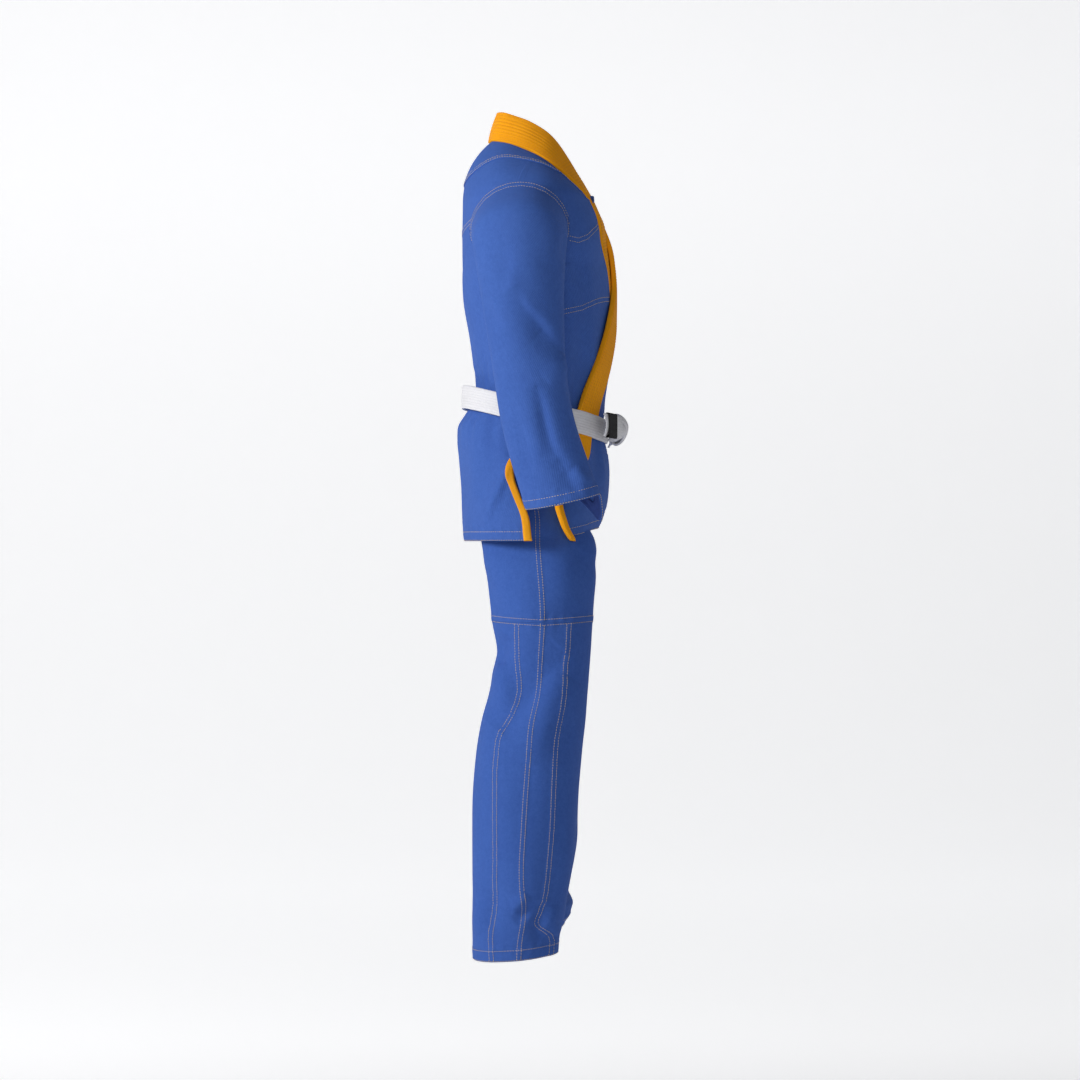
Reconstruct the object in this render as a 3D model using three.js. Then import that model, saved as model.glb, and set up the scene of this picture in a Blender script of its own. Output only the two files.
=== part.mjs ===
// Martial arts uniform: a wrap jacket with a stiff collar band, a tied belt and trousers, in the shape
// they have on a standing wearer. Millimetres, +Z up; the front faces -Y and the wearer's right is -X.
// Heights are counted from the trouser hem. At the end the whole group is lowered by CARRY_HEIGHT, so
// that the origin is where the wearer's shoulders carry the jacket.
import * as THREE from 'three';

// ---- driving dimensions -------------------------------------------------------------------------
const CARRY_HEIGHT = 1330; // height of the point between the shoulders that carries the jacket
const JACKET_CLOTH = 2.5; // pearl weave, one ply
const TROUSER_CLOTH = 2.0; // twill, one ply
const SEAM_GAP = 0.6; // between two panels that are sewn edge to edge
const PLY_GAP = 0.4; // between two layers that follow each other exactly
const LAID_GAP = 1.2; // between a layer and one that is laid on it or under it
const COLLAR_WIDTH = 54;
const COLLAR_PLY = 1.2; // cover and facing of the collar band
const COLLAR_CORE = 3.0; // foam core between them
const COLLAR_ROUND = 420; // twice the radius that the band is rounded to across its width
const TUCK = 6.5; // how much deeper the inner front and its collar lie where the outer front covers them
const BELT_WIDTH = 40;
const BELT_PLY = 1.6; // one wrap of the belt
const BELT_BACK_HEIGHT = 963; // centre line of the belt at the back
const BELT_FRONT_HEIGHT = 896; // and at the front
const TAPE_WIDTH = 14; // orange tape on the vent edges
const HEM_DEPTH = 18; // turned hem of the jacket and the cuffs
const TROUSER_HEM_DEPTH = 22;
const ARMHOLE_HEIGHT = 1238; // centre of the armhole
const ARMHOLE_HALF_HEIGHT = 74;
const ARMHOLE_HALF_DEPTH = 82;
const ARMHOLE_Y = 35;
const SLEEVE_CLOTH = 2.5;
const SLEEVE_WIDTH = 1.0; // share of the sleeve's drawn girth
const KNEE_TOP = 560; // double seam where the reinforced lower leg begins
const KNEE_BOTTOM = 430;
const WAIST_TOP = 995;
const WAISTBAND = 38;
const LEG_LEAN = 14; // the left leg stands this much further forward at the hem
const LEG_STEPS = 14; // sides of a leg's outline all the way round
const TAIL_LENGTH = 122;
const RANK_BAR_LENGTH = 60;
const RANK_BAR_FROM_END = 14;

// ---- section tables: half width, front and back of the outline at each height --------------------
const TORSO = [
  { z: 700, half: 180, front: -98, back: 133 },
  { z: 750, half: 176, front: -110, back: 137 },
  { z: 800, half: 171, front: -117, back: 140 },
  { z: 850, half: 166, front: -115, back: 143 },
  { z: 885, half: 160, front: -112, back: 136 },
  { z: 930, half: 154, front: -110, back: 120 },
  { z: 1000, half: 160, front: -120, back: 117 },
  { z: 1064, half: 168, front: -127, back: 121 },
  { z: 1127, half: 176, front: -129, back: 130 },
  { z: 1190, half: 184, front: -124, back: 135 },
  { z: 1250, half: 190, front: -112, back: 136 },
  { z: 1290, half: 190, front: -95, back: 135 },
];
const SHOULDER_BASE = 1290;
const SHOULDER_BULGE = 22;
const YOKE_SEAM = 0.42; // how far up the shoulder the yoke begins, from 0 at its base to 1 at the neck

const HIPS = [
  { z: 700, half: 144, front: -78, back: 110 },
  { z: 800, half: 142, front: -78, back: 110 },
  { z: 880, half: 142, front: -80, back: 110 },
  { z: 960, half: 138, front: -84, back: 94 },
  { z: 1010, half: 136, front: -84, back: 90 },
];
const LEG = [
  { z: 0, x: -106, half: 72, front: -30, back: 114 },
  { z: 60, x: -106, half: 74, front: -40, back: 115 },
  { z: 122, x: -106, half: 76, front: -50, back: 115 },
  { z: 205, x: -106, half: 78, front: -59, back: 113 },
  { z: 268, x: -105, half: 79, front: -65, back: 111 },
  { z: 352, x: -103, half: 78, front: -71, back: 105 },
  { z: 436, x: -99, half: 76, front: -79, back: 86 },
  { z: 505, x: -95, half: 76, front: -85, back: 74 },
  { z: 561, x: -92, half: 78, front: -89, back: 82 },
  { z: 645, x: -89, half: 81, front: -96, back: 93 },
  { z: 668, x: -86, half: 78, front: -92, back: 96 },
  { z: 706, x: -78, half: 64, front: -76, back: 102 },
  { z: 760, x: -78, half: 64, front: -76, back: 106 },
];
const CROTCH_LOW = 735;
const CROTCH_HIGH = 800;

// Right sleeve, from the armhole to the cuff: centre, half depth along Y, half height, and the tilt of
// the section, from 0 where it faces sideways to 90 where it faces the floor.
const SLEEVE = [
  { x: -193, y: 35, z: 1238, depth: 82, height: 74, tilt: 0 },
  { x: -226, y: 34, z: 1211, depth: 79, height: 70, tilt: 30 },
  { x: -246, y: 31, z: 1153, depth: 72, height: 60, tilt: 62 },
  { x: -248, y: 27, z: 1089, depth: 66, height: 54, tilt: 80 },
  { x: -249, y: 18, z: 997, depth: 61, height: 49, tilt: 82 },
  { x: -258, y: 0, z: 888, depth: 60, height: 46, tilt: 80 },
  { x: -275, y: -38, z: 764, depth: 60, height: 42, tilt: 79 },
];
const SLEEVE_SPLIT = 2.4; // station where the cloth that bends at the shoulder ends

// Centre line of the left half of the collar: round the neck, then on the front by angle and height.
const COLLAR_NECK = [
  [0, 79, 1426],
  [40, 70, 1423],
  [68, 34, 1411],
  [76, -4, 1392],
  [72, -40, 1360],
  [63, -74, 1317],
];
const COLLAR_FRONT = [
  { z: 1262, angle: 13.5 },
  { z: 1200, angle: 6.5 },
  { z: 1139, angle: 0 },
  { z: 1064, angle: -16 },
  { z: 1000, angle: -28 },
  { z: 950, angle: -37 },
  { z: 912, angle: -43 },
];
const COLLAR_SKIRT = [
  { z: 880, angle: -49 },
  { z: 850, angle: -54 },
  { z: 800, angle: -62 },
  { z: 758, angle: -66 },
  { z: 712, angle: -58 },
];
const COLLAR_LOWER = COLLAR_FRONT.concat(COLLAR_SKIRT);

// ---- small tools ----------------------------------------------------------------------------------
const { degToRad, lerp, smoothstep, clamp } = THREE.MathUtils;
const uniform = new THREE.Group();

function sample(table, z, key) {
  const rising = table[1].z > table[0].z;
  const rows = rising ? table : [...table].reverse();
  const last = rows.length - 1;
  if (z <= rows[0].z) return rows[0][key];
  if (z >= rows[last].z) return rows[last][key];
  const i = rows.findIndex((row) => row.z >= z);
  const share = (z - rows[i - 1].z) / (rows[i].z - rows[i - 1].z);
  return lerp(rows[i - 1][key], rows[i][key], share);
}

function cloth(color, roughness) {
  return new THREE.MeshStandardMaterial({ color, roughness, metalness: 0 });
}

// The block's inner face is split along the same diagonals as its outer one, so that plies nest.
function turnDiagonals(geometry) {
  const { start, count } = geometry.groups[5];
  const corners = geometry.index;
  for (let i = start; i < start + count; i += 6) {
    const [a, b, c, d] = [0, 1, 4, 5].map((step) => corners.getX(i + step));
    [a, b, c, a, c, d].forEach((corner, step) => corners.setX(i + step, corner));
  }
}

// A closed shell bent from a flat block: place(u, v, t) gives the point at u along, v across and t
// through the cloth, each from 0 to 1. The other side's copy is mirrored in X.
function panel(name, material, along, across, place, mirrored = false) {
  const geometry = new THREE.BoxGeometry(1, 1, 1, along, across, 1);
  const spots = geometry.attributes.position;
  for (let i = 0; i < spots.count; i++) {
    const u = spots.getX(i) + 0.5;
    const v = spots.getY(i) + 0.5;
    const t = spots.getZ(i) + 0.5;
    const p = place(mirrored ? 1 - u : u, v, t);
    spots.setXYZ(i, mirrored ? -p.x : p.x, p.y, p.z);
  }
  turnDiagonals(geometry);
  geometry.computeVertexNormals();
  const mesh = new THREE.Mesh(geometry, material);
  mesh.name = name;
  uniform.add(mesh);
  return mesh;
}

const blue = cloth(0x2f4a9e, 0.9);
const twill = cloth(0x2c4594, 0.88);
const orange = cloth(0xf0a018, 0.85);
const foam = cloth(0x3a3a3a, 0.95);
const white = cloth(0xe9e9ea, 0.8);
const black = cloth(0x17171a, 0.75);

// ---- the jacket's surface -------------------------------------------------------------------------
// Angles are in degrees about +Z: 0 is the front, 90 the wearer's left, 180 the back.
function ring(angle, z, out = 0) {
  const front = sample(TORSO, z, 'front') - out;
  const back = sample(TORSO, z, 'back') + out;
  const a = degToRad(angle);
  const x = (sample(TORSO, z, 'half') + out) * Math.sin(a);
  const y = (front + back) / 2 - ((back - front) / 2) * Math.cos(a);
  return new THREE.Vector3(x, y, z);
}

function ringAngle(y, z) {
  const front = sample(TORSO, z, 'front');
  const back = sample(TORSO, z, 'back');
  const share = clamp(((front + back) / 2 - y) / ((back - front) / 2), -1, 1);
  return THREE.MathUtils.radToDeg(Math.acos(share));
}

function beltHeight(angle) {
  const y = ring(angle, 930).y;
  const back = ring(180, 930).y;
  const front = ring(0, 930).y;
  return lerp(BELT_FRONT_HEIGHT, BELT_BACK_HEIGHT, (y - front) / (back - front));
}

// ---- the collar band ------------------------------------------------------------------------------
const collarUpper = new THREE.CatmullRomCurve3([
  ...COLLAR_NECK.map((p) => new THREE.Vector3(...p)),
  ...COLLAR_FRONT.map((row) => ring(row.angle, row.z)),
]);
const collarLower = new THREE.CatmullRomCurve3(COLLAR_SKIRT.map((row) => ring(row.angle, row.z)));
const COLLAR_STACK = 2 * COLLAR_PLY + COLLAR_CORE + 2 * PLY_GAP;

function collarNormal(p) {
  const front = sample(TORSO, p.z, 'front');
  const back = sample(TORSO, p.z, 'back');
  const half = sample(TORSO, p.z, 'half');
  const depth = (back - front) / 2;
  const onChest = new THREE.Vector3(p.x / half ** 2, (p.y - (front + back) / 2) / depth ** 2, 0).normalize();
  const onNeck = new THREE.Vector3(p.x, p.y - 15, 0).normalize();
  onNeck.z = 0.3;
  return onChest.lerp(onNeck, smoothstep(p.z, 1265, 1345)).normalize();
}

// Point of the band: share along a centre line, across from the inner edge (-1) to the outer edge (1),
// and height above the cloth that it is sewn to.
function collarPoint(curve, share, across, height) {
  const centre = curve.getPointAt(clamp(share, 0, 1));
  const tangent = curve.getTangentAt(clamp(share, 0, 1));
  const normal = collarNormal(centre);
  const side = new THREE.Vector3().crossVectors(normal, tangent).normalize();
  const off = (across * COLLAR_WIDTH) / 2;
  const sag = (off * off) / COLLAR_ROUND;
  return centre.addScaledVector(side, off).addScaledVector(normal, height - sag);
}

function tuckedPoint(curve, share, across, height) {
  const z = curve.getPointAt(share).z;
  const depth = (TUCK + 5) * smoothstep(-z, -1265, -1208);
  return collarPoint(curve, share, across, height - depth);
}

// The band's outer edge, as heights and angles on the jacket.
const collarEdge = Array.from({ length: 81 }, (_, i) => {
  const share = 0.25 + (0.75 * i) / 80;
  const p = collarPoint(collarUpper, share, 1, 0);
  const half = sample(TORSO, p.z, 'half');
  return { z: p.z, share, angle: THREE.MathUtils.radToDeg(Math.asin(clamp(p.x / half, -1, 1))) };
});
const NECK_SHARE = sample(collarEdge, SHOULDER_BASE, 'share');
const NECK_ANGLE = sample(collarEdge, SHOULDER_BASE, 'angle') + 0.9;

// The jacket's edge round the neck is the band's outer edge.
function neck(angle, out) {
  const folded = Math.min(angle, 360 - angle);
  const share = (NECK_SHARE * (180 - folded)) / (180 - NECK_ANGLE);
  const p = collarPoint(collarUpper, share, 1 + (3 * SEAM_GAP) / COLLAR_WIDTH, out);
  if (angle > 180) p.x = -p.x;
  return p;
}

function shoulder(angle, rise, out) {
  const turned = (angle + 360) % 360;
  const base = ring(turned, SHOULDER_BASE, out);
  const bulge = SHOULDER_BULGE * Math.sin(Math.PI * rise);
  const a = degToRad(turned);
  return base
    .lerp(neck(turned, out), rise)
    .add(new THREE.Vector3(0.6 * bulge * Math.sin(a), -0.6 * bulge * Math.cos(a), 0.8 * bulge));
}

// Height 0 is the lower edge given, 1 the base of the shoulder, 2 the neck.
function jacket(angle, height, low, out) {
  if (height > 1) return shoulder(angle, height - 1, out);
  return ring(angle, lerp(low, SHOULDER_BASE, height), out);
}

function armholeHalf(height, low) {
  const z = height > 1 ? SHOULDER_BASE + (height - 1) * 150 : lerp(low, SHOULDER_BASE, height);
  const share = (z - ARMHOLE_HEIGHT) / (ARMHOLE_HALF_HEIGHT + 2);
  return Math.abs(share) < 1 ? ARMHOLE_HALF_DEPTH * Math.sqrt(1 - share * share) : 0;
}

// Angle of a panel's edge at the side: beside the armhole, or at the side and shoulder seams.
function sideEdge(height, toBack) {
  const low = beltHeight(90);
  const z = Math.min(SHOULDER_BASE, lerp(low, SHOULDER_BASE, height));
  const reach = armholeHalf(height, low) + SEAM_GAP;
  return ringAngle(ARMHOLE_Y + (toBack ? reach : -reach), z);
}

function outerFrontEdge(height, low) {
  const z = lerp(low, SHOULDER_BASE, Math.min(height, 1));
  return sample(collarEdge, z, 'angle') + 0.9;
}

function innerFrontEdge(z) {
  return -sample(COLLAR_LOWER, z, 'angle') - 13;
}

// How deep the inner front lies under the outer front and its collar at one spot.
function tucked(angle, z) {
  const cover = sample(COLLAR_LOWER, z, 'angle') - 14;
  return TUCK * smoothstep(angle, cover - 9, cover - 3) * smoothstep(-z, -1200, -1160);
}

// ---- jacket body ----------------------------------------------------------------------------------
// Heights of a body panel's rows, closer together round the armhole.
const BODY_ROWS = [0, 0.11, 0.21, 0.315, 0.42, 0.525, 0.63, 0.67, 0.73, 0.81, 0.9, 1, 1.06, 1.11, 1.165, 1.235, 1.416];
const BODY_STEPS = BODY_ROWS.length - 1;
function bodyHeight(v) {
  const i = Math.min(Math.floor(v * BODY_STEPS + 1e-6), BODY_STEPS - 1);
  return lerp(BODY_ROWS[i], BODY_ROWS[i + 1], v * BODY_STEPS - i);
}
const YOKE_FRONT = NECK_ANGLE + 4;

panel('back_panel', blue, 12, BODY_STEPS, (u, v, t) => {
  const height = bodyHeight(v);
  const reach = sideEdge(height, true);
  const angle = lerp(reach, 360 - reach, u);
  const low = beltHeight(angle);
  return jacket(angle, height, low, -JACKET_CLOTH * (1 - t));
});

panel('left_front_panel', blue, 9, BODY_STEPS, (u, v, t) => {
  const height = bodyHeight(v);
  const inner = outerFrontEdge(height, BELT_FRONT_HEIGHT);
  const angle = lerp(inner, sideEdge(height, false), u);
  return jacket(angle, height, beltHeight(angle), -JACKET_CLOTH * (1 - t));
});

panel('right_front_panel', blue, 9, BODY_STEPS, (u, v, t) => {
  const height = bodyHeight(v);
  const z = lerp(BELT_FRONT_HEIGHT, SHOULDER_BASE, Math.min(height, 1));
  const inner = Math.min(innerFrontEdge(z), -outerFrontEdge(height, BELT_FRONT_HEIGHT));
  const angle = lerp(-sideEdge(height, false), inner, u);
  const low = beltHeight(angle);
  const spotZ = lerp(low, SHOULDER_BASE, Math.min(height, 1));
  return jacket(angle, height, low, -tucked(angle, spotZ) - JACKET_CLOTH * (1 - t));
});

panel('shoulder_yoke', blue, 22, 2, (u, v, t) => {
  const angle = lerp(YOKE_FRONT, 360 - YOKE_FRONT, u);
  return shoulder(angle, lerp(YOKE_SEAM, 1, v), -JACKET_CLOTH * (1 - t));
});

for (const [side, mirrored] of [['left', false], ['right', true]]) {
  panel(`${side}_chest_reinforcement`, blue, 8, 4, (u, v, t) => {
    const height = lerp(0.56, 0.86, v) - 0.06 * u;
    const z = lerp(BELT_FRONT_HEIGHT, SHOULDER_BASE, height);
    const inner = Math.max(outerFrontEdge(height, BELT_FRONT_HEIGHT) + 3, 17 - sample(COLLAR_FRONT, z, 'angle'));
    return ring(lerp(inner, 68 - 12 * v, u), z, LAID_GAP + 1.6 * t);
  }, mirrored);

  panel(`${side}_underarm_gusset`, blue, 3, 3, (u, v, t) => {
    return ring(lerp(74, 98, u), lerp(1078, 1152, v), LAID_GAP + 1.4 * t);
  }, mirrored);
}

// ---- collar: facing, foam core and cover, each one length from hip to neck to hip -------------------
// u runs from the inner front's end, up round the neck and down to the outer front's end.
function collarPly(name, material, curve, lowest, thickness, steps) {
  panel(name, material, steps, 2, (u, v, t) => {
    const across = 2 * v - 1;
    const height = lowest + thickness * t;
    const share = Math.abs(2 * u - 1);
    if (u >= 0.5) return collarPoint(curve, share, across, height);
    const p = tuckedPoint(curve, share, across, height);
    return new THREE.Vector3(-p.x, p.y, p.z);
  });
}
const FACING_LOW = -JACKET_CLOTH;
const CORE_LOW = FACING_LOW + COLLAR_PLY + PLY_GAP;
const COVER_LOW = CORE_LOW + COLLAR_CORE + PLY_GAP;
collarPly('collar_facing', orange, collarUpper, FACING_LOW, COLLAR_PLY, 36);
collarPly('collar_core', foam, collarUpper, CORE_LOW, COLLAR_CORE, 36);
collarPly('collar_cover', orange, collarUpper, COVER_LOW, COLLAR_PLY, 36);

// ---- skirts, below the belt -------------------------------------------------------------------------
const VENT_BACK = [
  { z: 706, y: 14 },
  { z: 777, y: 50 },
  { z: 808, y: 56 },
  { z: 840, y: 46 },
  { z: 900, y: 26 },
];
const VENT_FRONT = [
  { z: 706, y: -50 },
  { z: 758, y: -24 },
  { z: 800, y: -4 },
  { z: 840, y: 12 },
  { z: 900, y: 22 },
];
const BACK_HEM = 706;

function skirtTop(angle) {
  return beltHeight(angle) - BELT_WIDTH / 2 - 3;
}
function frontHem(angle) {
  return 728 - 22 * Math.sin(degToRad(Math.min(Math.abs(angle), 90))) ** 2;
}
function backVent(z) {
  return ringAngle(sample(VENT_BACK, z, 'y'), z);
}
function frontVent(z) {
  return ringAngle(sample(VENT_FRONT, z, 'y'), z);
}
function skirtPoint(angle, v, hem, out) {
  return ring(angle, lerp(hem, skirtTop(angle), v), out);
}

panel('back_skirt', blue, 12, 4, (u, v, t) => {
  const z = lerp(BACK_HEM, 888, v);
  const reach = backVent(z);
  return skirtPoint(lerp(reach, 360 - reach, u), v, BACK_HEM, -JACKET_CLOTH * (1 - t));
});

panel('back_hem_facing', blue, 12, 1, (u, v, t) => {
  const angle = lerp(106, 254, u);
  return ring(angle, BACK_HEM + HEM_DEPTH * v, -JACKET_CLOTH - 2 * LAID_GAP - 1.5 * (1 - t));
});

const SKIRT_EDGE = 14; // angle between the collar's centre line and the skirt's edge beside it
panel('left_front_skirt', blue, 12, 5, (u, v, t) => {
  const z = lerp(716, 868, v);
  const angle = lerp(sample(COLLAR_LOWER, z, 'angle') + SKIRT_EDGE, frontVent(z), u);
  return skirtPoint(angle, v, frontHem(angle), -JACKET_CLOTH * (1 - t));
});

panel('right_front_skirt', blue, 12, 5, (u, v, t) => {
  const z = lerp(716, 868, v);
  const inner = -sample(COLLAR_LOWER, z, 'angle') - SKIRT_EDGE;
  const angle = lerp(-frontVent(z) + 7, inner, u);
  return skirtPoint(angle, v, frontHem(angle), -TUCK - 1 - JACKET_CLOTH * (1 - t));
});

panel('left_front_hem_facing', blue, 8, 1, (u, v, t) => {
  const angle = lerp(-30, 50, u);
  const z = frontHem(angle) + HEM_DEPTH * v;
  return ring(angle, z, -JACKET_CLOTH - 2 * LAID_GAP - 1.0 * (1 - t));
});

panel('outer_collar_end', orange, 10, 2, (u, v, t) => {
  return collarPoint(collarLower, u, 2 * v - 1, -JACKET_CLOTH + COLLAR_STACK * t);
});
panel('inner_collar_end', orange, 10, 2, (u, v, t) => {
  const height = -TUCK - 6 - JACKET_CLOTH + COLLAR_STACK * t;
  const p = collarPoint(collarLower, 1 - u, 2 * v - 1, height);
  return new THREE.Vector3(-p.x, p.y, p.z);
});

// A tape folded flat on a vent edge; inward is 1 where the cloth lies at a larger angle than the edge.
function ventTape(name, edge, inward, low, high, out, mirrored) {
  panel(name, orange, 1, 8, (u, v, t) => {
    const z = lerp(low, high, v);
    const width = THREE.MathUtils.radToDeg(TAPE_WIDTH / 172);
    const from = edge(z);
    const angle = inward > 0 ? from + width * u : from - width * (1 - u);
    return ring(angle, z, out + LAID_GAP + 1.0 * t);
  }, mirrored);
}
ventTape('left_back_vent_tape', backVent, 1, BACK_HEM, 860, 0, false);
ventTape('right_back_vent_tape', backVent, 1, BACK_HEM, 860, 0, true);
ventTape('left_front_vent_tape', frontVent, -1, 708, 860, 0, false);

// ---- sleeves ----------------------------------------------------------------------------------------
function sleeveRow(station) {
  const i = Math.min(Math.floor(station), SLEEVE.length - 2);
  const share = station - i;
  const at = (key) => lerp(SLEEVE[i][key], SLEEVE[i + 1][key], share);
  return { x: at('x'), y: at('y'), z: at('z'), depth: at('depth'), height: at('height'), tilt: at('tilt') };
}

// Half width of the jacket beside the armhole.
function sideHalf(y, z) {
  const front = sample(TORSO, z, 'front');
  const back = sample(TORSO, z, 'back');
  const share = (y - (front + back) / 2) / ((back - front) / 2);
  const above = Math.max(0, z - SHOULDER_BASE);
  return (sample(TORSO, z, 'half') - 0.4 * above) * Math.sqrt(Math.max(0, 1 - share * share));
}

// u goes once round from the underarm seam and back to it; station counts down from the armhole.
function sleevePoint(u, station, out) {
  const row = sleeveRow(station);
  const seam = degToRad(0.4);
  const around = lerp(-Math.PI / 2 + seam, (3 * Math.PI) / 2 - seam, u);
  const tilt = degToRad(row.tilt);
  const across = (row.depth * SLEEVE_WIDTH + out) * Math.cos(around);
  const up = (row.height * SLEEVE_WIDTH + out) * Math.sin(around);
  const p = new THREE.Vector3(row.x - up * Math.sin(tilt), row.y + across, row.z + up * Math.cos(tilt));
  const join = 1 - smoothstep(station, 0, 1.3);
  p.x = lerp(p.x, -sideHalf(p.y, p.z) - 2.5 * SEAM_GAP - (out + SLEEVE_CLOTH), join);
  return p;
}

const LAST_STATION = SLEEVE.length - 1;
for (const [side, mirrored] of [['right', false], ['left', true]]) {
  panel(`${side}_sleeve_head`, blue, 14, 4, (u, v, t) => {
    return sleevePoint(u, lerp(SLEEVE_SPLIT - 0.01, 0, v), -SLEEVE_CLOTH * (1 - t));
  }, mirrored);
  panel(`${side}_sleeve`, blue, 14, 5, (u, v, t) => {
    return sleevePoint(u, lerp(LAST_STATION, SLEEVE_SPLIT, v), -SLEEVE_CLOTH * (1 - t));
  }, mirrored);
  panel(`${side}_cuff_facing`, blue, 14, 1, (u, v, t) => {
    const deep = HEM_DEPTH / 126;
    const out = -SLEEVE_CLOTH - LAID_GAP - 1.5 * (1 - t);
    return sleevePoint(u, LAST_STATION - deep * v, out);
  }, mirrored);
}

// ---- belt ---------------------------------------------------------------------------------------------
const BELT_INNER = COLLAR_STACK - JACKET_CLOTH + 2.5 * LAID_GAP;
const BELT_OUTER = BELT_INNER + BELT_PLY + PLY_GAP;
const BELT_FACE = BELT_OUTER + BELT_PLY;
function beltWrap(name, start, out) {
  panel(name, white, 24, 1, (u, v, t) => {
    const angle = start + lerp(0.3, 359.7, u);
    const p = ring(angle, 925, out + BELT_PLY * t);
    p.z = beltHeight(angle) + BELT_WIDTH * (v - 0.5);
    return p;
  });
}
beltWrap('belt_inner_wrap', 180, BELT_INNER);
beltWrap('belt_outer_wrap', 0, BELT_OUTER);

const KNOT = new THREE.Vector3(27, 18, 21); // half sizes of the tied knot
const knotY = ring(0, 925, BELT_FACE).y - KNOT.y - PLY_GAP;
const knot = new THREE.Mesh(new THREE.SphereGeometry(1, 14, 8).scale(KNOT.x, KNOT.y, KNOT.z), white);
knot.name = 'belt_knot';
knot.position.set(0, knotY, 903);
uniform.add(knot);

const TAIL_THICKNESS = 2 * BELT_PLY;
// A tail's inner end is rounded about the spot that it turns on.
const tailOutline = new THREE.Shape();
tailOutline.moveTo(BELT_WIDTH / 2, -BELT_WIDTH / 2);
tailOutline.lineTo(TAIL_LENGTH, -BELT_WIDTH / 2);
tailOutline.lineTo(TAIL_LENGTH, BELT_WIDTH / 2);
tailOutline.lineTo(BELT_WIDTH / 2, BELT_WIDTH / 2);
tailOutline.absarc(BELT_WIDTH / 2, 0, BELT_WIDTH / 2, Math.PI / 2, (3 * Math.PI) / 2, false);
function tail(side, turn, drop) {
  const right = side === 'right';
  const holder = new THREE.Group();
  holder.position.set((right ? -1 : 1) * (KNOT.x - 1), knotY - 4, 903);
  holder.rotation.order = 'ZYX';
  holder.rotation.set(0, degToRad(drop), degToRad(right ? 180 - turn : turn));
  const outline = new THREE.ExtrudeGeometry(tailOutline, { depth: TAIL_THICKNESS, bevelEnabled: false });
  const strap = new THREE.Mesh(outline, white);
  strap.name = `${side}_belt_tail`;
  strap.rotation.x = Math.PI / 2;
  strap.position.set(4, TAIL_THICKNESS / 2, 0);
  holder.add(strap);
  uniform.add(holder);
  return holder;
}
const rightTail = tail('right', 15, 0);
tail('left', 8, 4);

// The black bar is a sleeve of cloth sewn round the right tail near its end.
const BAR_GAP = 0.35;
const BAR_PLY = 0.9;
const barHalfHeight = BELT_WIDTH / 2 + BAR_GAP;
const barHalfDepth = TAIL_THICKNESS / 2 + BAR_GAP;
function rectangle(shape, halfX, halfY) {
  shape.moveTo(-halfX, -halfY);
  shape.lineTo(halfX, -halfY);
  shape.lineTo(halfX, halfY);
  shape.lineTo(-halfX, halfY);
  shape.closePath();
  return shape;
}
const barOutline = rectangle(new THREE.Shape(), barHalfHeight + BAR_PLY, barHalfDepth + BAR_PLY);
barOutline.holes.push(rectangle(new THREE.Path(), barHalfHeight, barHalfDepth));
const bar = new THREE.Mesh(
  new THREE.ExtrudeGeometry(barOutline, { depth: RANK_BAR_LENGTH, bevelEnabled: false }),
  black,
);
bar.name = 'rank_bar';
bar.rotation.set(0, Math.PI / 2, 0);
bar.position.x = TAIL_LENGTH + 4 - RANK_BAR_FROM_END - RANK_BAR_LENGTH;
rightTail.add(bar);


// ---- trousers -------------------------------------------------------------------------------------------
// u goes once round the right leg from the inseam, by the back, the outside and the front.
function legPoint(u, z, out) {
  const seam = 0.0015;
  const share = lerp(seam, 1 - seam, u);
  const round = 2 * Math.PI * share;
  const front = sample(LEG, z, 'front') - out;
  const back = sample(LEG, z, 'back') + out;
  const x = sample(LEG, z, 'x') + (sample(LEG, z, 'half') + out) * Math.cos(round);
  const leg = new THREE.Vector3(x, (front + back) / 2 + ((back - front) / 2) * Math.sin(round), z);
  const turn = Math.PI * (0.5 + u);
  const hipFront = sample(HIPS, z, 'front') - out;
  const hipBack = sample(HIPS, z, 'back') + out;
  const hipX = -SEAM_GAP / 2 + (sample(HIPS, z, 'half') + out) * Math.min(0, Math.cos(turn));
  const hipY = (hipFront + hipBack) / 2 + ((hipBack - hipFront) / 2) * Math.sin(turn);
  return leg.lerp(new THREE.Vector3(hipX, hipY, z), smoothstep(z, CROTCH_LOW, CROTCH_HIGH));
}

for (const [side, mirrored] of [['right', false], ['left', true]]) {
  const stand = (p) => {
    if (mirrored) p.y -= LEG_LEAN * smoothstep(-p.z, -560, 0);
    return p;
  };
  const leg = (name, steps, rows, low, high, inside, ply) => {
    panel(`${side}_${name}`, twill, steps, rows, (u, v, t) => {
      return stand(legPoint(u, lerp(low, high, v), -inside - ply * (1 - t)));
    }, mirrored);
  };
  leg('upper_trouser', LEG_STEPS, 8, KNEE_TOP + SEAM_GAP, WAIST_TOP - WAISTBAND - SEAM_GAP, 0, TROUSER_CLOTH);
  leg('knee', LEG_STEPS, 2, KNEE_BOTTOM + SEAM_GAP, KNEE_TOP, 0, TROUSER_CLOTH);
  leg('lower_leg', LEG_STEPS, 5, 0, KNEE_BOTTOM, 0, TROUSER_CLOTH);
  leg('leg_hem_facing', LEG_STEPS, 1, 0, TROUSER_HEM_DEPTH, TROUSER_CLOTH + LAID_GAP, 1.5);
  panel(`${side}_knee_patch`, twill, 4, 4, (u, v, t) => {
    const z = lerp(KNEE_BOTTOM / 5, KNEE_BOTTOM, v);
    return stand(legPoint(lerp(9, 13, u) / LEG_STEPS, z, PLY_GAP + 1.4 * t));
  }, mirrored);
}

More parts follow.
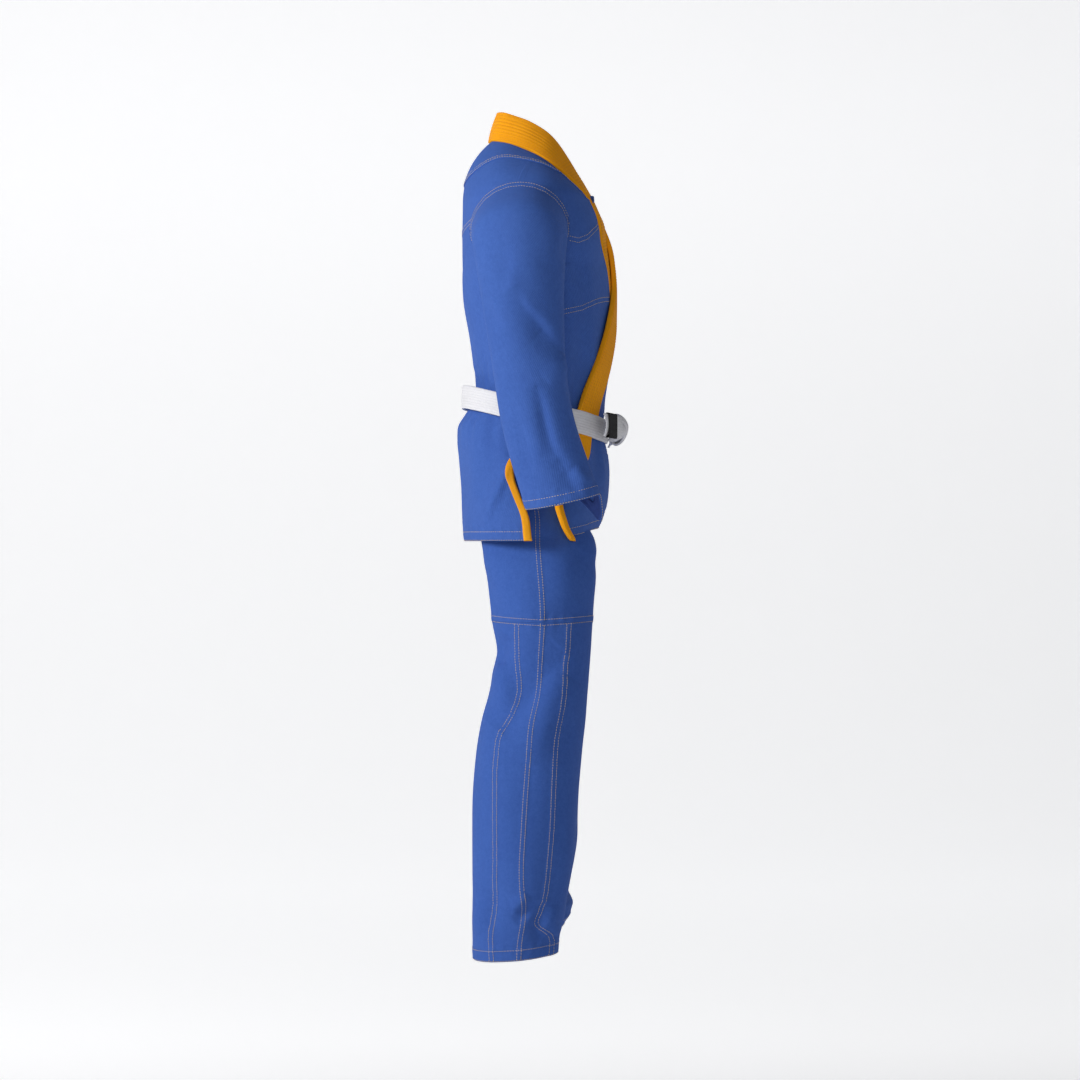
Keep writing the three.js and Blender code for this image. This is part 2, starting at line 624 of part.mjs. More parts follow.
function waistRing(name, start, end, out, ply) {
  panel(name, twill, 24, 1, (u, v, t) => {
    const angle = degToRad(lerp(start, end, u));
    const z = lerp(WAIST_TOP - WAISTBAND, WAIST_TOP, v);
    const grow = out + ply * t;
    const front = sample(HIPS, z, 'front') - grow;
    const back = sample(HIPS, z, 'back') + grow;
    const x = (sample(HIPS, z, 'half') + grow) * Math.sin(angle);
    return new THREE.Vector3(x, (front + back) / 2 - ((back - front) / 2) * Math.cos(angle), z);
  });
}
// The two plies of the waistband make the tunnel for the cord, which leaves through the front gap.
const CORD_GAP = 4; // degrees each side of the centre front
waistRing('waistband_outer', CORD_GAP, 360 - CORD_GAP, -TROUSER_CLOTH, TROUSER_CLOTH);
waistRing('waistband_inner', 0.3, 359.7, -TROUSER_CLOTH - 4.5, 1.5);

uniform.position.z = -CARRY_HEIGHT;
export default uniform;
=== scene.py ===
import math

import bmesh
import bpy
import numpy as np
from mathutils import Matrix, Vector
from mathutils.bvhtree import BVHTree


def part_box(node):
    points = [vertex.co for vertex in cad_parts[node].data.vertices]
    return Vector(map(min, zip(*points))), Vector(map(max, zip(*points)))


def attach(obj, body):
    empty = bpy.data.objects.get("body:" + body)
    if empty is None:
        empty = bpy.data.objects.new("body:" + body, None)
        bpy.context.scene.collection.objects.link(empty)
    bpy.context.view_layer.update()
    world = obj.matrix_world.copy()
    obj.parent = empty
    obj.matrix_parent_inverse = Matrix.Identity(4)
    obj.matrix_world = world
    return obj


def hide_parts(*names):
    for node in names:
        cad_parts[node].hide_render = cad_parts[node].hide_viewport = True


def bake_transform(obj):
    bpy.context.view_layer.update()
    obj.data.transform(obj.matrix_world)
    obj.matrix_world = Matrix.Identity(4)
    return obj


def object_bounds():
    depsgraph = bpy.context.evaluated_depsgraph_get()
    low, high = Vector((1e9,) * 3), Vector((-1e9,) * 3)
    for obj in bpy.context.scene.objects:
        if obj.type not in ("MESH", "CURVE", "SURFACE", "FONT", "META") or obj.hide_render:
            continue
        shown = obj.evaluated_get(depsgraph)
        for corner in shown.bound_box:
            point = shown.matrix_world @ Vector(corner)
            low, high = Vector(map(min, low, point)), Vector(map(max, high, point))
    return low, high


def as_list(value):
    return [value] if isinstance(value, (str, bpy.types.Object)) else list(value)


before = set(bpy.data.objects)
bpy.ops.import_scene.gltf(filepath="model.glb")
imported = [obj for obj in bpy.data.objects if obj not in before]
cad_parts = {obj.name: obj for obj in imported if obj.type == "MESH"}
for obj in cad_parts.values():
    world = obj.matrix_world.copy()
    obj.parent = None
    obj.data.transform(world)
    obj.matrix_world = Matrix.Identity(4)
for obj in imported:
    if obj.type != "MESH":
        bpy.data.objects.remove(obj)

LOW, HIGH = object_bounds()
MM = (HIGH.z - LOW.z) / 1452.4  # metres for one millimetre of the pattern; heights count from the trouser hem

# ---- pattern: outlines of the cloth, (height, half width, front, back) ---------------------------
TORSO = [
    (690, 181, -97, 132), (706, 180, -98, 133), (729, 178, -101, 135), (750, 176, -110, 137),
    (800, 171, -117, 140),
    (850, 166, -115, 144), (882, 160, -112, 145), (908, 157, -111, 140), (924, 155, -110, 129),
    (942, 154, -111, 119), (1000, 160, -120, 117),
    (1064, 168, -127, 121), (1127, 176, -129, 130), (1190, 184, -124, 135), (1250, 190, -112, 136),
    (1290, 190, -96, 135),
]
HIPS = [(690, 144, -78, 110), (800, 142, -78, 110), (880, 142, -80, 110), (960, 138, -84, 94),
        (1010, 136, -84, 90)]
LEG = [  # height, centre, half width, front, back
    (0, -106, 72, -30, 115), (24, -106, 72, -32, 116), (60, -106, 74, -40, 117), (114, -106, 75, -49, 116),
    (134, -106, 76, -53, 116), (175, -106, 77, -60, 115), (216, -106, 78, -62, 114), (278, -105, 79, -66, 113),
    (319, -104, 79, -69, 111), (360, -103, 78, -72, 107), (401, -101, 77, -76, 99), (442, -99, 76, -79, 87),
    (483, -96, 75, -83, 78), (503, -95, 75, -85, 73), (524, -94, 76, -87, 74), (565, -92, 78, -90, 82),
    (606, -90, 80, -93, 87), (647, -88, 80, -96, 92), (668, -86, 78, -95, 96), (694, -81, 71, -97, 99),
    (712, -78, 66, -93, 102), (728, -78, 65, -85, 103), (760, -78, 64, -78, 106),
]
SLEEVE = [  # station, x, y, height of centre, half depth, half height, tilt
    (0, -193, 35, 1238, 84, 71, 0), (1, -226, 34, 1211, 79, 70, 30), (2, -246, 31, 1153, 72, 60, 62),
    (3, -248, 27, 1089, 66, 54, 80), (4, -249, 18, 997, 61, 49, 82), (5, -258, 0, 888, 60, 46, 80),
    (6, -275, -38, 764, 60, 42, 79),
]
# The collar's middle line: x, y and height round the neck, then angle and height down the front.
COLLAR_NECK = [(0, 79, 1426), (40, 70, 1423), (68, 34, 1411), (76, -4, 1392), (72, -40, 1360), (63, -74, 1317)]
COLLAR_FRONT = [(13.5, 1262), (6.5, 1200), (0, 1139), (-16, 1064), (-28, 1000), (-37, 950), (-43, 905)]
# The open edges of the skirts at the side vents: height and depth.
VENT_BACK = [(706, 13), (746, 20), (775, 33), (801, 42.5), (816, 42.5), (837, 32), (870, 18), (900, 12)]
VENT_FRONT = [(706, -50), (758, -24), (800, -4), (840, 12), (900, 22)]
COLLAR_WIDTH = 54
BELT_WIDTH = 40
BELT_FRONT = 896  # height of the belt's line at the front
SHOULDER = 1290  # height where the shoulder starts to close over
SHOULDER_RISE = 105
ARM_Y, ARM_Z = 35, 1238  # middle of the armhole
ARM_DEEP, ARM_TALL = 78, 68  # the hole in the panels, a little smaller than the sleeve's seam
EDGE_UNDER = 5.5  # degrees by which a front panel runs on under the collar
LEG_ROW = 569  # height of the seam between hip and lower leg
HIP_LOW, HIP_TOP = 568.6, 960
HEM_ROWS = (1.6, 16.0)  # rows of thread, from the edge
FELL_ROWS = (1.4, 7.6)
LEG_SEAM_ROWS = (-3.4, 3.4)
FOLD_STRENGTH = 1.5


# ---- small tools ---------------------------------------------------------------------------------
def smooth(x, low, high):
    t = np.clip((np.asarray(x, float) - low) / (high - low), 0, 1)
    return t * t * (3 - 2 * t)


def mix(a, b, t):
    return a + (b - a) * t


def through(rows):
    """A smooth curve through a table's rows, read by its first column."""
    rows = np.array(rows, float)
    rows = rows[np.argsort(rows[:, 0])]
    z, values = rows[:, 0], rows[:, 1:]
    slope = np.gradient(values, z, axis=0)

    def at(h):
        h = np.clip(np.asarray(h, float), z[0], z[-1])
        i = np.clip(np.searchsorted(z, h, side="right") - 1, 0, len(z) - 2)
        span = (z[i + 1] - z[i])[..., None]
        t = (h[..., None] - z[i][..., None]) / span
        a, b = values[i], values[i + 1]
        bend = t * (1 - t) ** 2 * slope[i] + t * t * (t - 1) * slope[i + 1]
        return (1 + 2 * t) * (1 - t) ** 2 * a + t * t * (3 - 2 * t) * b + span * bend

    return lambda h: np.moveaxis(at(h), -1, 0)


class Route:
    """A smooth line through points, read by its share of the length."""

    def __init__(self, points):
        p = np.array(points, float)
        step = np.r_[0, np.cumsum(np.linalg.norm(np.diff(p, axis=0), axis=1))]
        curve = through(np.column_stack([step, p]))
        fine = np.linspace(0, step[-1], 900)
        self.points = np.moveaxis(curve(fine), 0, -1)
        length = np.r_[0, np.cumsum(np.linalg.norm(np.diff(self.points, axis=0), axis=1))]
        self.length = length[-1]
        self.share = length / length[-1]

    def at(self, s):
        s = np.clip(s, 0, 1)
        return np.stack([np.interp(s, self.share, self.points[:, k]) for k in range(3)], -1)

    def tangent(self, s):
        d = self.at(np.clip(s, 0.004, 0.996) + 0.004) - self.at(np.clip(s, 0.004, 0.996) - 0.004)
        return d / np.linalg.norm(d, axis=-1, keepdims=True)


def unit(v):
    return v / np.maximum(np.linalg.norm(v, axis=-1, keepdims=True), 1e-9)


def wander(p, scale, seed):
    """A gentle, even unevenness, about -1 to 1, over points p; scale is the length of its swells."""
    waves = 7
    rng = np.random.default_rng(seed)
    total = 0
    for _ in range(waves):
        k = rng.normal(size=3)
        k *= rng.uniform(0.7, 1.5) / np.linalg.norm(k)
        total = total + np.sin(2 * np.pi * (p / np.array(scale)) @ k + rng.uniform(0, 2 * np.pi))
    return total / waves ** 0.5 / 1.4


def fold(p, line, height, sharp, soft, side):
    """A crease along a line of (y, height) points on one side: steep over sharp, soft over soft."""
    pts = np.array(line, float)
    route = Route(np.column_stack([pts[:, 0], pts[:, 1], 0 * pts[:, 0]]))
    s = np.linspace(0, 1, 40)
    knots = route.at(s)[:, :2]
    along = route.tangent(s)[:, :2]
    yz = p[..., 1:]
    best = np.full(yz.shape[:-1], 1e9)
    signed = np.zeros_like(best)
    where = np.zeros_like(best)
    for k, (c, t) in enumerate(zip(knots, along)):
        d = yz - c
        far = np.hypot(d[..., 0], d[..., 1])
        closer = far < best
        best = np.where(closer, far, best)
        across = d[..., 0] * t[1] - d[..., 1] * t[0]
        signed = np.where(closer, across, signed)
        where = np.where(closer, s[k], where)
    width = np.where(signed > 0, sharp, soft)
    ends = np.clip(np.sin(np.pi * np.clip(where, 0, 1)), 0, 1) ** 0.7
    return FOLD_STRENGTH * height * ends * np.exp(-(best / width) ** 2) * (np.sign(p[..., 0]) == side)


def seam(d, width, lift):
    """A felled seam: a raised strip from 0 to width, pulled in along its two rows of thread."""
    strip = smooth(d, -0.8, 0.4) * (1 - smooth(d, width - 0.4, width + 0.8))
    rows = np.exp(-((d - 1.4) / 0.9) ** 2) + np.exp(-((d - width + 1.4) / 0.9) ** 2)
    return lift * strip - 0.35 * rows


def pucker(d, along, reach=12.0, pitch=17.0, height=0.35, seed=0):
    """Small waves where thread draws the cloth in; they die out away from the seam."""
    swell = np.sin(2 * np.pi * along / pitch + 1.7 * np.sin(along / 41.0 + seed) + seed)
    return height * swell * np.exp(-(d / reach) ** 2)


def hem(d, depth, along, seed):
    """A turned hem: thicker up to its row of thread, and rounded at the edge."""
    ply = 0.9 * (1 - smooth(d, depth - 1.0, depth + 1.6))
    row = 0.5 * np.exp(-((d - depth + 2.5) / 1.2) ** 2)
    rounded = 1.3 * np.exp(-(d / 1.0) ** 2)
    return ply - row - rounded + pucker(d - depth, along, 11, 19, 0.4, seed)


# ---- surfaces ------------------------------------------------------------------------------------
torso = through(TORSO)
hips = through(HIPS)
leg_rows = through(LEG)
sleeve_rows = through(SLEEVE)
vent_back = through(VENT_BACK)
vent_front = through(VENT_FRONT)


def stack(x, y, z):
    return np.stack(np.broadcast_arrays(x, y, z), -1)


def ring(a, z, out=0.0):
    half, front, back = torso(z)
    r = np.radians(a)
    return stack((half + out) * np.sin(r), (front + back) / 2 - ((back - front) / 2 + out) * np.cos(r), z)


def ring_angle(y, z):
    _, front, back = torso(z)
    return np.degrees(np.arccos(np.clip(((front + back) / 2 - y) / ((back - front) / 2), -1, 1)))


# The belt's height for each depth: it sits lower in front.
belt_line = through([(-130, 891), (-112, 895), (-73, 906), (0, 920.5), (59, 936), (128, 957), (150, 963)])


def belt_height(a):
    return belt_line(ring(a, 930.0)[..., 1])[0]


collar_upper = Route(list(COLLAR_NECK) + [tuple(ring(float(a), float(z))) for a, z in COLLAR_FRONT])


def collar_normal(p):
    half, front, back = torso(p[..., 2])
    depth = (back - front) / 2
    chest = unit(stack(p[..., 0] / half ** 2, (p[..., 1] - (front + back) / 2) / depth ** 2, 0 * half))
    neck = unit(stack(p[..., 0], p[..., 1] - 15, 0 * half))
    neck[..., 2] = 0.3
    return unit(mix(chest, neck, smooth(p[..., 2], 1290, 1400)[..., None]))


def collar_point(route, share, across, height):
    c = route.at(share)
    n = collar_normal(c)
    side = unit(np.cross(n, route.tangent(share)))
    half = COLLAR_WIDTH / 2
    off = (across * half)[..., None]
    lean = (math.radians(15) * smooth(share, 0.0, 0.1) * (1 - smooth(share, 0.37, 0.54)) + 0 * across)[..., None]
    swung = off - half
    c = c + side * (half + swung * np.cos(lean)) + n * swung * np.sin(lean)
    face = n * np.cos(lean) - side * np.sin(lean)
    return c + face * (np.asarray(height)[..., None] - off ** 2 / 420)


edge_share = np.linspace(0.2, 1, 161)
edge = collar_point(collar_upper, edge_share, np.ones(161), np.zeros(161))
edge_a = np.degrees(np.arcsin(np.clip(edge[:, 0] / torso(edge[:, 2])[0], -1, 1)))
order = np.argsort(edge[:, 2])


def edge_angle(z):
    return np.interp(z, edge[order, 2], edge_a[order])


NECK_SHARE = float(np.interp(SHOULDER, edge[order, 2], edge_share[order]))
NECK_ANGLE = float(edge_angle(SHOULDER)) + 0.9


def shoulder(a, rise, out=0.0):
    """From the base of the shoulder, at 0, over it to the collar's outer edge, at 1."""
    a = np.mod(a + 360, 360)
    folded = np.minimum(a, 360 - a)
    share = NECK_SHARE * (180 - folded) / (180 - NECK_ANGLE)
    neck = collar_point(collar_upper, share, np.full(np.shape(share), 1.0), np.zeros(np.shape(share)))
    neck[..., 0] = np.where(a > 180, -neck[..., 0], neck[..., 0])
    base = ring(a, np.full(np.shape(a), float(SHOULDER)))
    far = np.linalg.norm(neck - base, axis=-1, keepdims=True)
    r = np.radians(a)[..., None]
    h = np.concatenate([np.sin(r), -np.cos(r), 0 * r], -1)
    up = np.array([0, 0, 1.0])
    side = np.abs(np.sin(r))
    p1 = base + up * far * mix(0.44, 0.24, side)
    p2 = neck + h * far * mix(0.22, 0.30, side) - up * far * mix(0.2, 0.10, side)
    t = rise[..., None]
    return (1 - t) ** 3 * base + 3 * t * (1 - t) ** 2 * p1 + 3 * t * t * (1 - t) * p2 + t ** 3 * neck


def jacket(a, height, low):
    """The jacket's body: height goes from 0 at low to 1 at the shoulder's base and 2 at the collar."""
    below = ring(a, mix(low, SHOULDER, np.minimum(height, 1)))
    above = shoulder(a, np.maximum(height - 1, 0))
    return np.where((height > 1)[..., None], above, below)


def arm_reach(z):
    """How far the armhole reaches before and behind its middle at a height."""
    share = np.clip((z - ARM_Z) / ARM_TALL, -1, 1)
    return ARM_DEEP * np.sqrt(1 - share ** 2)


def armhole_back(high, z):
    return ring_angle(ARM_Y + arm_reach(high), z) - 2.5


def armhole_front(high, z):
    return ring_angle(ARM_Y - arm_reach(high), z) + 2.5


class Cloth:
    """A sheet of cloth: its shape over u and v, and the relief of its folds and seams."""

    def __init__(self, shape, relief=None, mirrored=False):
        self.shape, self.relief, self.mirrored = shape, relief, mirrored

    def at(self, u, v, lift=0.0):
        u, v = np.broadcast_arrays(np.asarray(u, float), np.asarray(v, float))
        if self.mirrored:
            u = 1 - u
        e = 1e-3
        u0, u1 = np.maximum(u - e, 0), np.minimum(u + e, 1)
        v0, v1 = np.maximum(v - e, 0), np.minimum(v + e, 1)
        p = self.shape(u, v)
        du = (self.shape(u1, v) - self.shape(u0, v)) / (u1 - u0)[..., None]
        dv = (self.shape(u, v1) - self.shape(u, v0)) / (v1 - v0)[..., None]
        n = unit(np.cross(du, dv))
        if self.mirrored:
            p, n = p * [-1, 1, 1], n * [-1, 1, 1]
        d = np.zeros(u.shape)
        if self.relief:
            lu, lv = np.linalg.norm(du, axis=-1), np.linalg.norm(dv, axis=-1)
            d = self.relief(p, n, u, v, lu, lv)
        return p + n * (d + lift)[..., None], n


def metres(p):
    return p * MM + np.array([0, 0, LOW.z])


def finish_mesh(obj, material):
    obj.data.materials.append(material)
    obj.data.polygons.foreach_set("use_smooth", [True] * len(obj.data.polygons))
    bpy.context.scene.collection.objects.link(obj)
    return obj


def sew(name, cloth, nu, nv, material, thick=2.4, closed=False):
    """One panel of cloth, as a fine grid with its thickness inwards."""
    bm = bmesh.new()
    bmesh.ops.create_grid(bm, x_segments=nu, y_segments=nv, size=0.5)
    uv = np.array([(v.co.x + 0.5, v.co.y + 0.5) for v in bm.verts])
    p, _ = cloth.at(uv[:, 0], uv[:, 1])
    line = np.linspace(0, 1, 40)
    long_u = np.linalg.norm(np.diff(cloth.at(line, 0.5)[0], axis=0), axis=1).sum()
    long_v = np.linalg.norm(np.diff(cloth.at(0.5, line)[0], axis=0), axis=1).sum()
    layer = bm.loops.layers.uv.new("weave")
    for face in bm.faces:
        for loop in face.loops:
            c = loop.vert.co
            loop[layer].uv = ((c.x + 0.5) * long_u * MM, (c.y + 0.5) * long_v * MM)
    p = metres(p)
    for vert, co in zip(bm.verts, p):
        vert.co = co
    if closed:
        bmesh.ops.remove_doubles(bm, verts=bm.verts, dist=1e-5)
    mesh = bpy.data.meshes.new(name)
    bm.to_mesh(mesh)
    bm.free()
    obj = finish_mesh(bpy.data.objects.new(name, mesh), material)
    if thick:
        shell = obj.modifiers.new("thickness", "SOLIDIFY")
        shell.thickness = thick * MM
        shell.offset = -1
    return obj


def along_run(run, values, s):
    return np.stack([np.interp(s, run, values[:, k]) for k in range(3)], -1)


def stitch(name, rows, material, pitch=4.6, length=3.3, radius=0.5):
    """Rows of thread on cloth: each row is (cloth, points of u and v). Every stitch lies in the surface."""
    centres, alongs, ups = [], [], []
    for cloth, uv in rows:
        uv = np.array(uv, float)
        if cloth.mirrored:
            uv[:, 0] = 1 - uv[:, 0]
        t = np.linspace(0, 1, len(uv))
        fine = np.linspace(0, 1, max(200, 30 * len(uv)))
        path = np.column_stack([np.interp(fine, t, uv[:, 0]), np.interp(fine, t, uv[:, 1])])
        p, n = cloth.at(path[:, 0], path[:, 1], 0.15)
        run = np.r_[0, np.cumsum(np.linalg.norm(np.diff(p, axis=0), axis=1))]
        spots = np.arange(pitch / 2, run[-1], pitch)
        centres.append(along_run(run, p, spots))
        alongs.append(unit(along_run(run, p, spots + 1) - along_run(run, p, spots - 1)))
        ups.append(unit(along_run(run, n, spots)))
    c, a, n = (np.concatenate(x) for x in (centres, alongs, ups))
    side = unit(np.cross(n, a))
    bm = bmesh.new()
    bmesh.ops.create_uvsphere(bm, u_segments=5, v_segments=4, radius=1)
    shape = np.array([tuple(v.co) for v in bm.verts])
    seed = bpy.data.meshes.new("stitch")
    bm.to_mesh(seed)
    for _ in range(len(c) - 1):
        bm.from_mesh(seed)
    mesh = bpy.data.meshes.new(name)
    bm.to_mesh(mesh)
    bm.free()
    bpy.data.meshes.remove(seed)
    wide, up, far = (shape[None, :, k:k + 1] for k in range(3))
    p = c[:, None] + a[:, None] * far * length / 2 + side[:, None] * wide * radius + n[:, None] * up * radius
    mesh.vertices.foreach_set("co", metres(p.reshape(-1, 3)).ravel())
    return finish_mesh(bpy.data.objects.new(name, mesh), material)


# ---- materials -----------------------------------------------------------------------------------
def nodes_of(name):
    m = bpy.data.materials.new(name)
    m.use_nodes = True
    return m, m.node_tree, m.node_tree.nodes["Principled BSDF"]


def add(tree, kind, **inputs):
    node = tree.nodes.new(kind)
    for key, value in inputs.items():
        if key.startswith("_"):
            setattr(node, key[1:], value)
            continue
        socket = node.inputs[int(key[1:]) if key[1:].isdigit() else key.replace("_", " ")]
        if isinstance(value, bpy.types.NodeSocket):
            tree.links.new(value, socket)
        else:
            socket.default_value = value
    return node


def maths(tree, kind, a, b=0.0):
    node = tree.nodes.new("ShaderNodeMath")
    node.operation = kind
    for socket, value in zip(node.inputs, (a, b)):
        if isinstance(value, bpy.types.NodeSocket):
            tree.links.new(value, socket)
        else:
            socket.default_value = value
    return node.outputs[0]


def linear(r, g, b):
    """A dye's colour, given out of 255 as on a colour card."""
    shares = [c / 255 for c in (r, g, b)]
    return tuple(s / 12.92 if s < 0.04045 else ((s + 0.055) / 1.055) ** 2.4 for s in shares) + (1,)


def woven(name, color, dark, pitch_u, pitch_v, depth, mottle=0.5, shift=0.5, rows=None):
    """Cloth: rice-grain weave from the piece's own map, mottled yarn, worn and dyed unevenly.

    rows are grooves along the cloth: which way they repeat, their pitch, depth and the painted shade that
    darkens them.
    """
    m, tree, shader = nodes_of(name)
    uv = add(tree, "ShaderNodeUVMap", _uv_map="weave").outputs[0]
    xyz = add(tree, "ShaderNodeSeparateXYZ", Vector=uv)
    across = maths(tree, "MULTIPLY", xyz.outputs[0], 2 * math.pi / (pitch_u * MM))
    along = maths(tree, "MULTIPLY", xyz.outputs[1], 2 * math.pi / (pitch_v * MM))
    step = maths(tree, "MULTIPLY", along, shift)
    slanted = maths(tree, "SINE", maths(tree, "ADD", across, step))
    grain = maths(tree, "MULTIPLY", slanted, maths(tree, "SINE", along))
    where = add(tree, "ShaderNodeTexCoord").outputs["Object"]

    def noise(scale, detail, harsh):
        node = add(tree, "ShaderNodeTexNoise", Vector=where, Scale=scale / (MM * 1000), Detail=detail,
                   Roughness=harsh)
        return node.outputs[0]

    fine = noise(420.0, 2.0, 0.6)
    patch = noise(130.0, 3.0, 0.65)
    wide = noise(9.0, 2.0, 0.5)
    tone = maths(tree, "ADD", maths(tree, "MULTIPLY", fine, mottle), maths(tree, "MULTIPLY", patch, mottle))
    tone = maths(tree, "ADD", tone, maths(tree, "MULTIPLY", wide, 0.35))
    tone = maths(tree, "ADD", tone, maths(tree, "MULTIPLY", grain, 0.10))
    tone = maths(tree, "ADD", tone, 0.33 - mottle)
    if rows:
        way, pitch, row_depth, painted_groove_shade = rows
        row = maths(tree, "SINE", maths(tree, "MULTIPLY", xyz.outputs[way], 2 * math.pi / (pitch * MM)))
        groove = maths(tree, "POWER", maths(tree, "ABSOLUTE", row), 0.5)
        # Painted shade: the colour darkens towards the bottom of each groove.
        shade = maths(tree, "ADD", maths(tree, "MULTIPLY", groove, painted_groove_shade), 1 - painted_groove_shade * 0.75)
        tone = maths(tree, "MULTIPLY", tone, shade)
    blend = add(tree, "ShaderNodeMix", _data_type="RGBA", _clamp_factor=True, Factor=tone)
    blend.inputs[6].default_value = dark
    blend.inputs[7].default_value = color
    tree.links.new(blend.outputs[2], shader.inputs["Base Color"])
    height = maths(tree, "ADD", grain, maths(tree, "MULTIPLY", fine, 1.4))
    bump = add(tree, "ShaderNodeBump", Strength=0.55, Distance=depth * MM, Height=height)
    if rows:
        over = bump.outputs[0]
        bump = add(tree, "ShaderNodeBump", Strength=0.8, Distance=row_depth * MM, Height=groove, Normal=over)
    tree.links.new(bump.outputs[0], shader.inputs["Normal"])
    shader.inputs["Roughness"].default_value = 0.85
    shader.inputs["Specular IOR Level"].default_value = 0.22
    shader.inputs["Sheen Weight"].default_value = 0.25
    shader.inputs["Sheen Roughness"].default_value = 0.5
    shader.inputs["Sheen Tint"].default_value = color
    return m


BLUE = woven("pearl weave", linear(74, 112, 192), linear(46, 80, 156), 3.2, 2.6, 0.5)
TWILL = woven("trouser twill", linear(68, 106, 186), linear(42, 76, 152), 2.2, 2.2, 0.25, shift=2.0)
ORANGE = woven("collar cloth", linear(255, 178, 20), linear(236, 146, 5), 2.4, 2.0, 0.2,
               mottle=0.35, rows=(1, 13.0, 0.5, 0.35))
TAPE = woven("vent tape", linear(255, 182, 34), linear(222, 132, 8), 1.6, 1.6, 0.25, mottle=0.3)
WHITE = woven("belt webbing", linear(246, 246, 248), linear(205, 205, 212), 1.8, 1.8, 0.25,
              mottle=0.3, rows=(1, 9.2, 0.45, 0.3))
BLACK = woven("rank bar cloth", linear(30, 30, 34), linear(12, 12, 15), 1.8, 1.8, 0.3, mottle=0.4)
LINING = woven("facing cloth", linear(66, 92, 168), linear(38, 56, 120), 2.4, 2.4, 0.3)


def thread(name, color):
    m, tree, shader = nodes_of(name)
    where = add(tree, "ShaderNodeTexCoord").outputs["Object"]
    noise = add(tree, "ShaderNodeTexNoise", Vector=where, Scale=900.0, Detail=1.0).outputs[0]
    blend = add(tree, "ShaderNodeMix", _data_type="RGBA", Factor=noise)
    blend.inputs[6].default_value = tuple(c * 0.7 for c in color[:3]) + (1,)
    blend.inputs[7].default_value = color
    tree.links.new(blend.outputs[2], shader.inputs["Base Color"])
    shader.inputs["Roughness"].default_value = 0.6
    return m


TAN = thread("tan thread", linear(222, 200, 156))
GOLD = thread("orange thread", linear(226, 140, 20))

# ---- jacket body ---------------------------------------------------------------------------------
TOP = 1.86  # how far up the shoulder the panels go, as jacket() counts it


def body_low(a):
    return belt_height(a) - 12


def body_relief(p):
    return 1.6 * wander(p, (120, 90, 170), 3) * smooth(p[..., 2], 930, 1010) + cinch(p)


def cinch(p):
    """Small upright folds that gather at the belt and die out above and below it."""
    half, front, back = torso(p[..., 2])
    a = np.arctan2(p[..., 0] / half, -(p[..., 1] - (front + back) / 2) / ((back - front) / 2))
    belt = belt_line(p[..., 1])[0]
    gap = np.abs(p[..., 2] - belt)
    wave = np.sin(13 * a + 2 * np.sin(3 * a + 1)) + 0.6 * np.sin(29 * a + 1.3 + 2 * np.sin(5 * a))
    return 1.5 * wave * np.exp(-((gap - 30) / 45.0) ** 2) * smooth(gap, 12, 34)


def back_shape(u, v):
    height = v * TOP
    z = mix(930, SHOULDER, np.minimum(height, 1)) + np.maximum(height - 1, 0) * SHOULDER_RISE
    edge_at = armhole_back(z, np.minimum(z, SHOULDER))
    a = mix(edge_at, 360 - edge_at, u)
    return jacket(a, height, body_low(a))


def back_seam(x):
    """Height of the seam across the back: lowest in the middle."""
    return 1237 + 25 * np.clip(np.abs(x) / 160, 0, 1) ** 2


def back_relief(p, n, u, v, lu, lv):
    d = body_relief(p)
    z = back_seam(p[..., 0])
    d += seam(p[..., 2] - z, 9, 0.8) + pucker(p[..., 2] - z - 4, p[..., 0])
    for side in (-1, 1):
        d += fold(p, [(112, 1010), (104, 985), (96, 965)], -2.5, 14, 20, side)
        d += fold(p, [(128, 1180), (124, 1120), (116, 1060), (110, 1010)], 2.2, 16, 26, side)
    return d


back_cloth = Cloth(back_shape, back_relief)
back = sew("jacket_back", back_cloth, 150, 150, BLUE)


def front_height(u, v):
    """A front panel reaches far up the shoulder at the armhole and little past its base at the collar."""
    height = v * TOP
    return np.minimum(height, 1) + np.maximum(height - 1, 0) * mix(0.2, 1.0, smooth(u, 0.02, 0.3))


def outer_edge(z):
    """Angle of the outer front's edge, a little way under the collar."""
    return edge_angle(z) - EDGE_UNDER


def inner_edge(z):
    """Angle of the inner front's edge, which runs on under the outer front below the crossing."""
    inner = outer_edge(z)
    cover = np.interp(-z, [-1290, -1200, -1130, -1064, -1000, -905], [0, -2, -6, 4, 14, 26])
    s = smooth(-z, -1210, -1160)
    return np.maximum(inner, cover * s + (1 - s) * inner)


def front_grid(u, v, edge_of):
    """Angle and height of each point of a front panel, between its edge and the armhole."""
    height = front_height(u, v)
    z = mix(BELT_FRONT, SHOULDER, np.minimum(height, 1))
    high = z + np.maximum(height - 1, 0) * SHOULDER_RISE
    return mix(edge_of(z), armhole_front(high, z), u), height


def front_shape(u, v):
    a, height = front_grid(u, v, outer_edge)
    return jacket(a, height, body_low(a))


def chest_rows(y):
    """Heights of the chest patch's upper and lower seams beside the front edge."""
    upper = np.interp(-y, [40, 53, 64, 79, 99, 125], [1224, 1221, 1219, 1227, 1250, 1275])
    lower = np.interp(-y, [30, 42, 72, 103, 130], [1084, 1087, 1095, 1110, 1120])
    return upper, lower


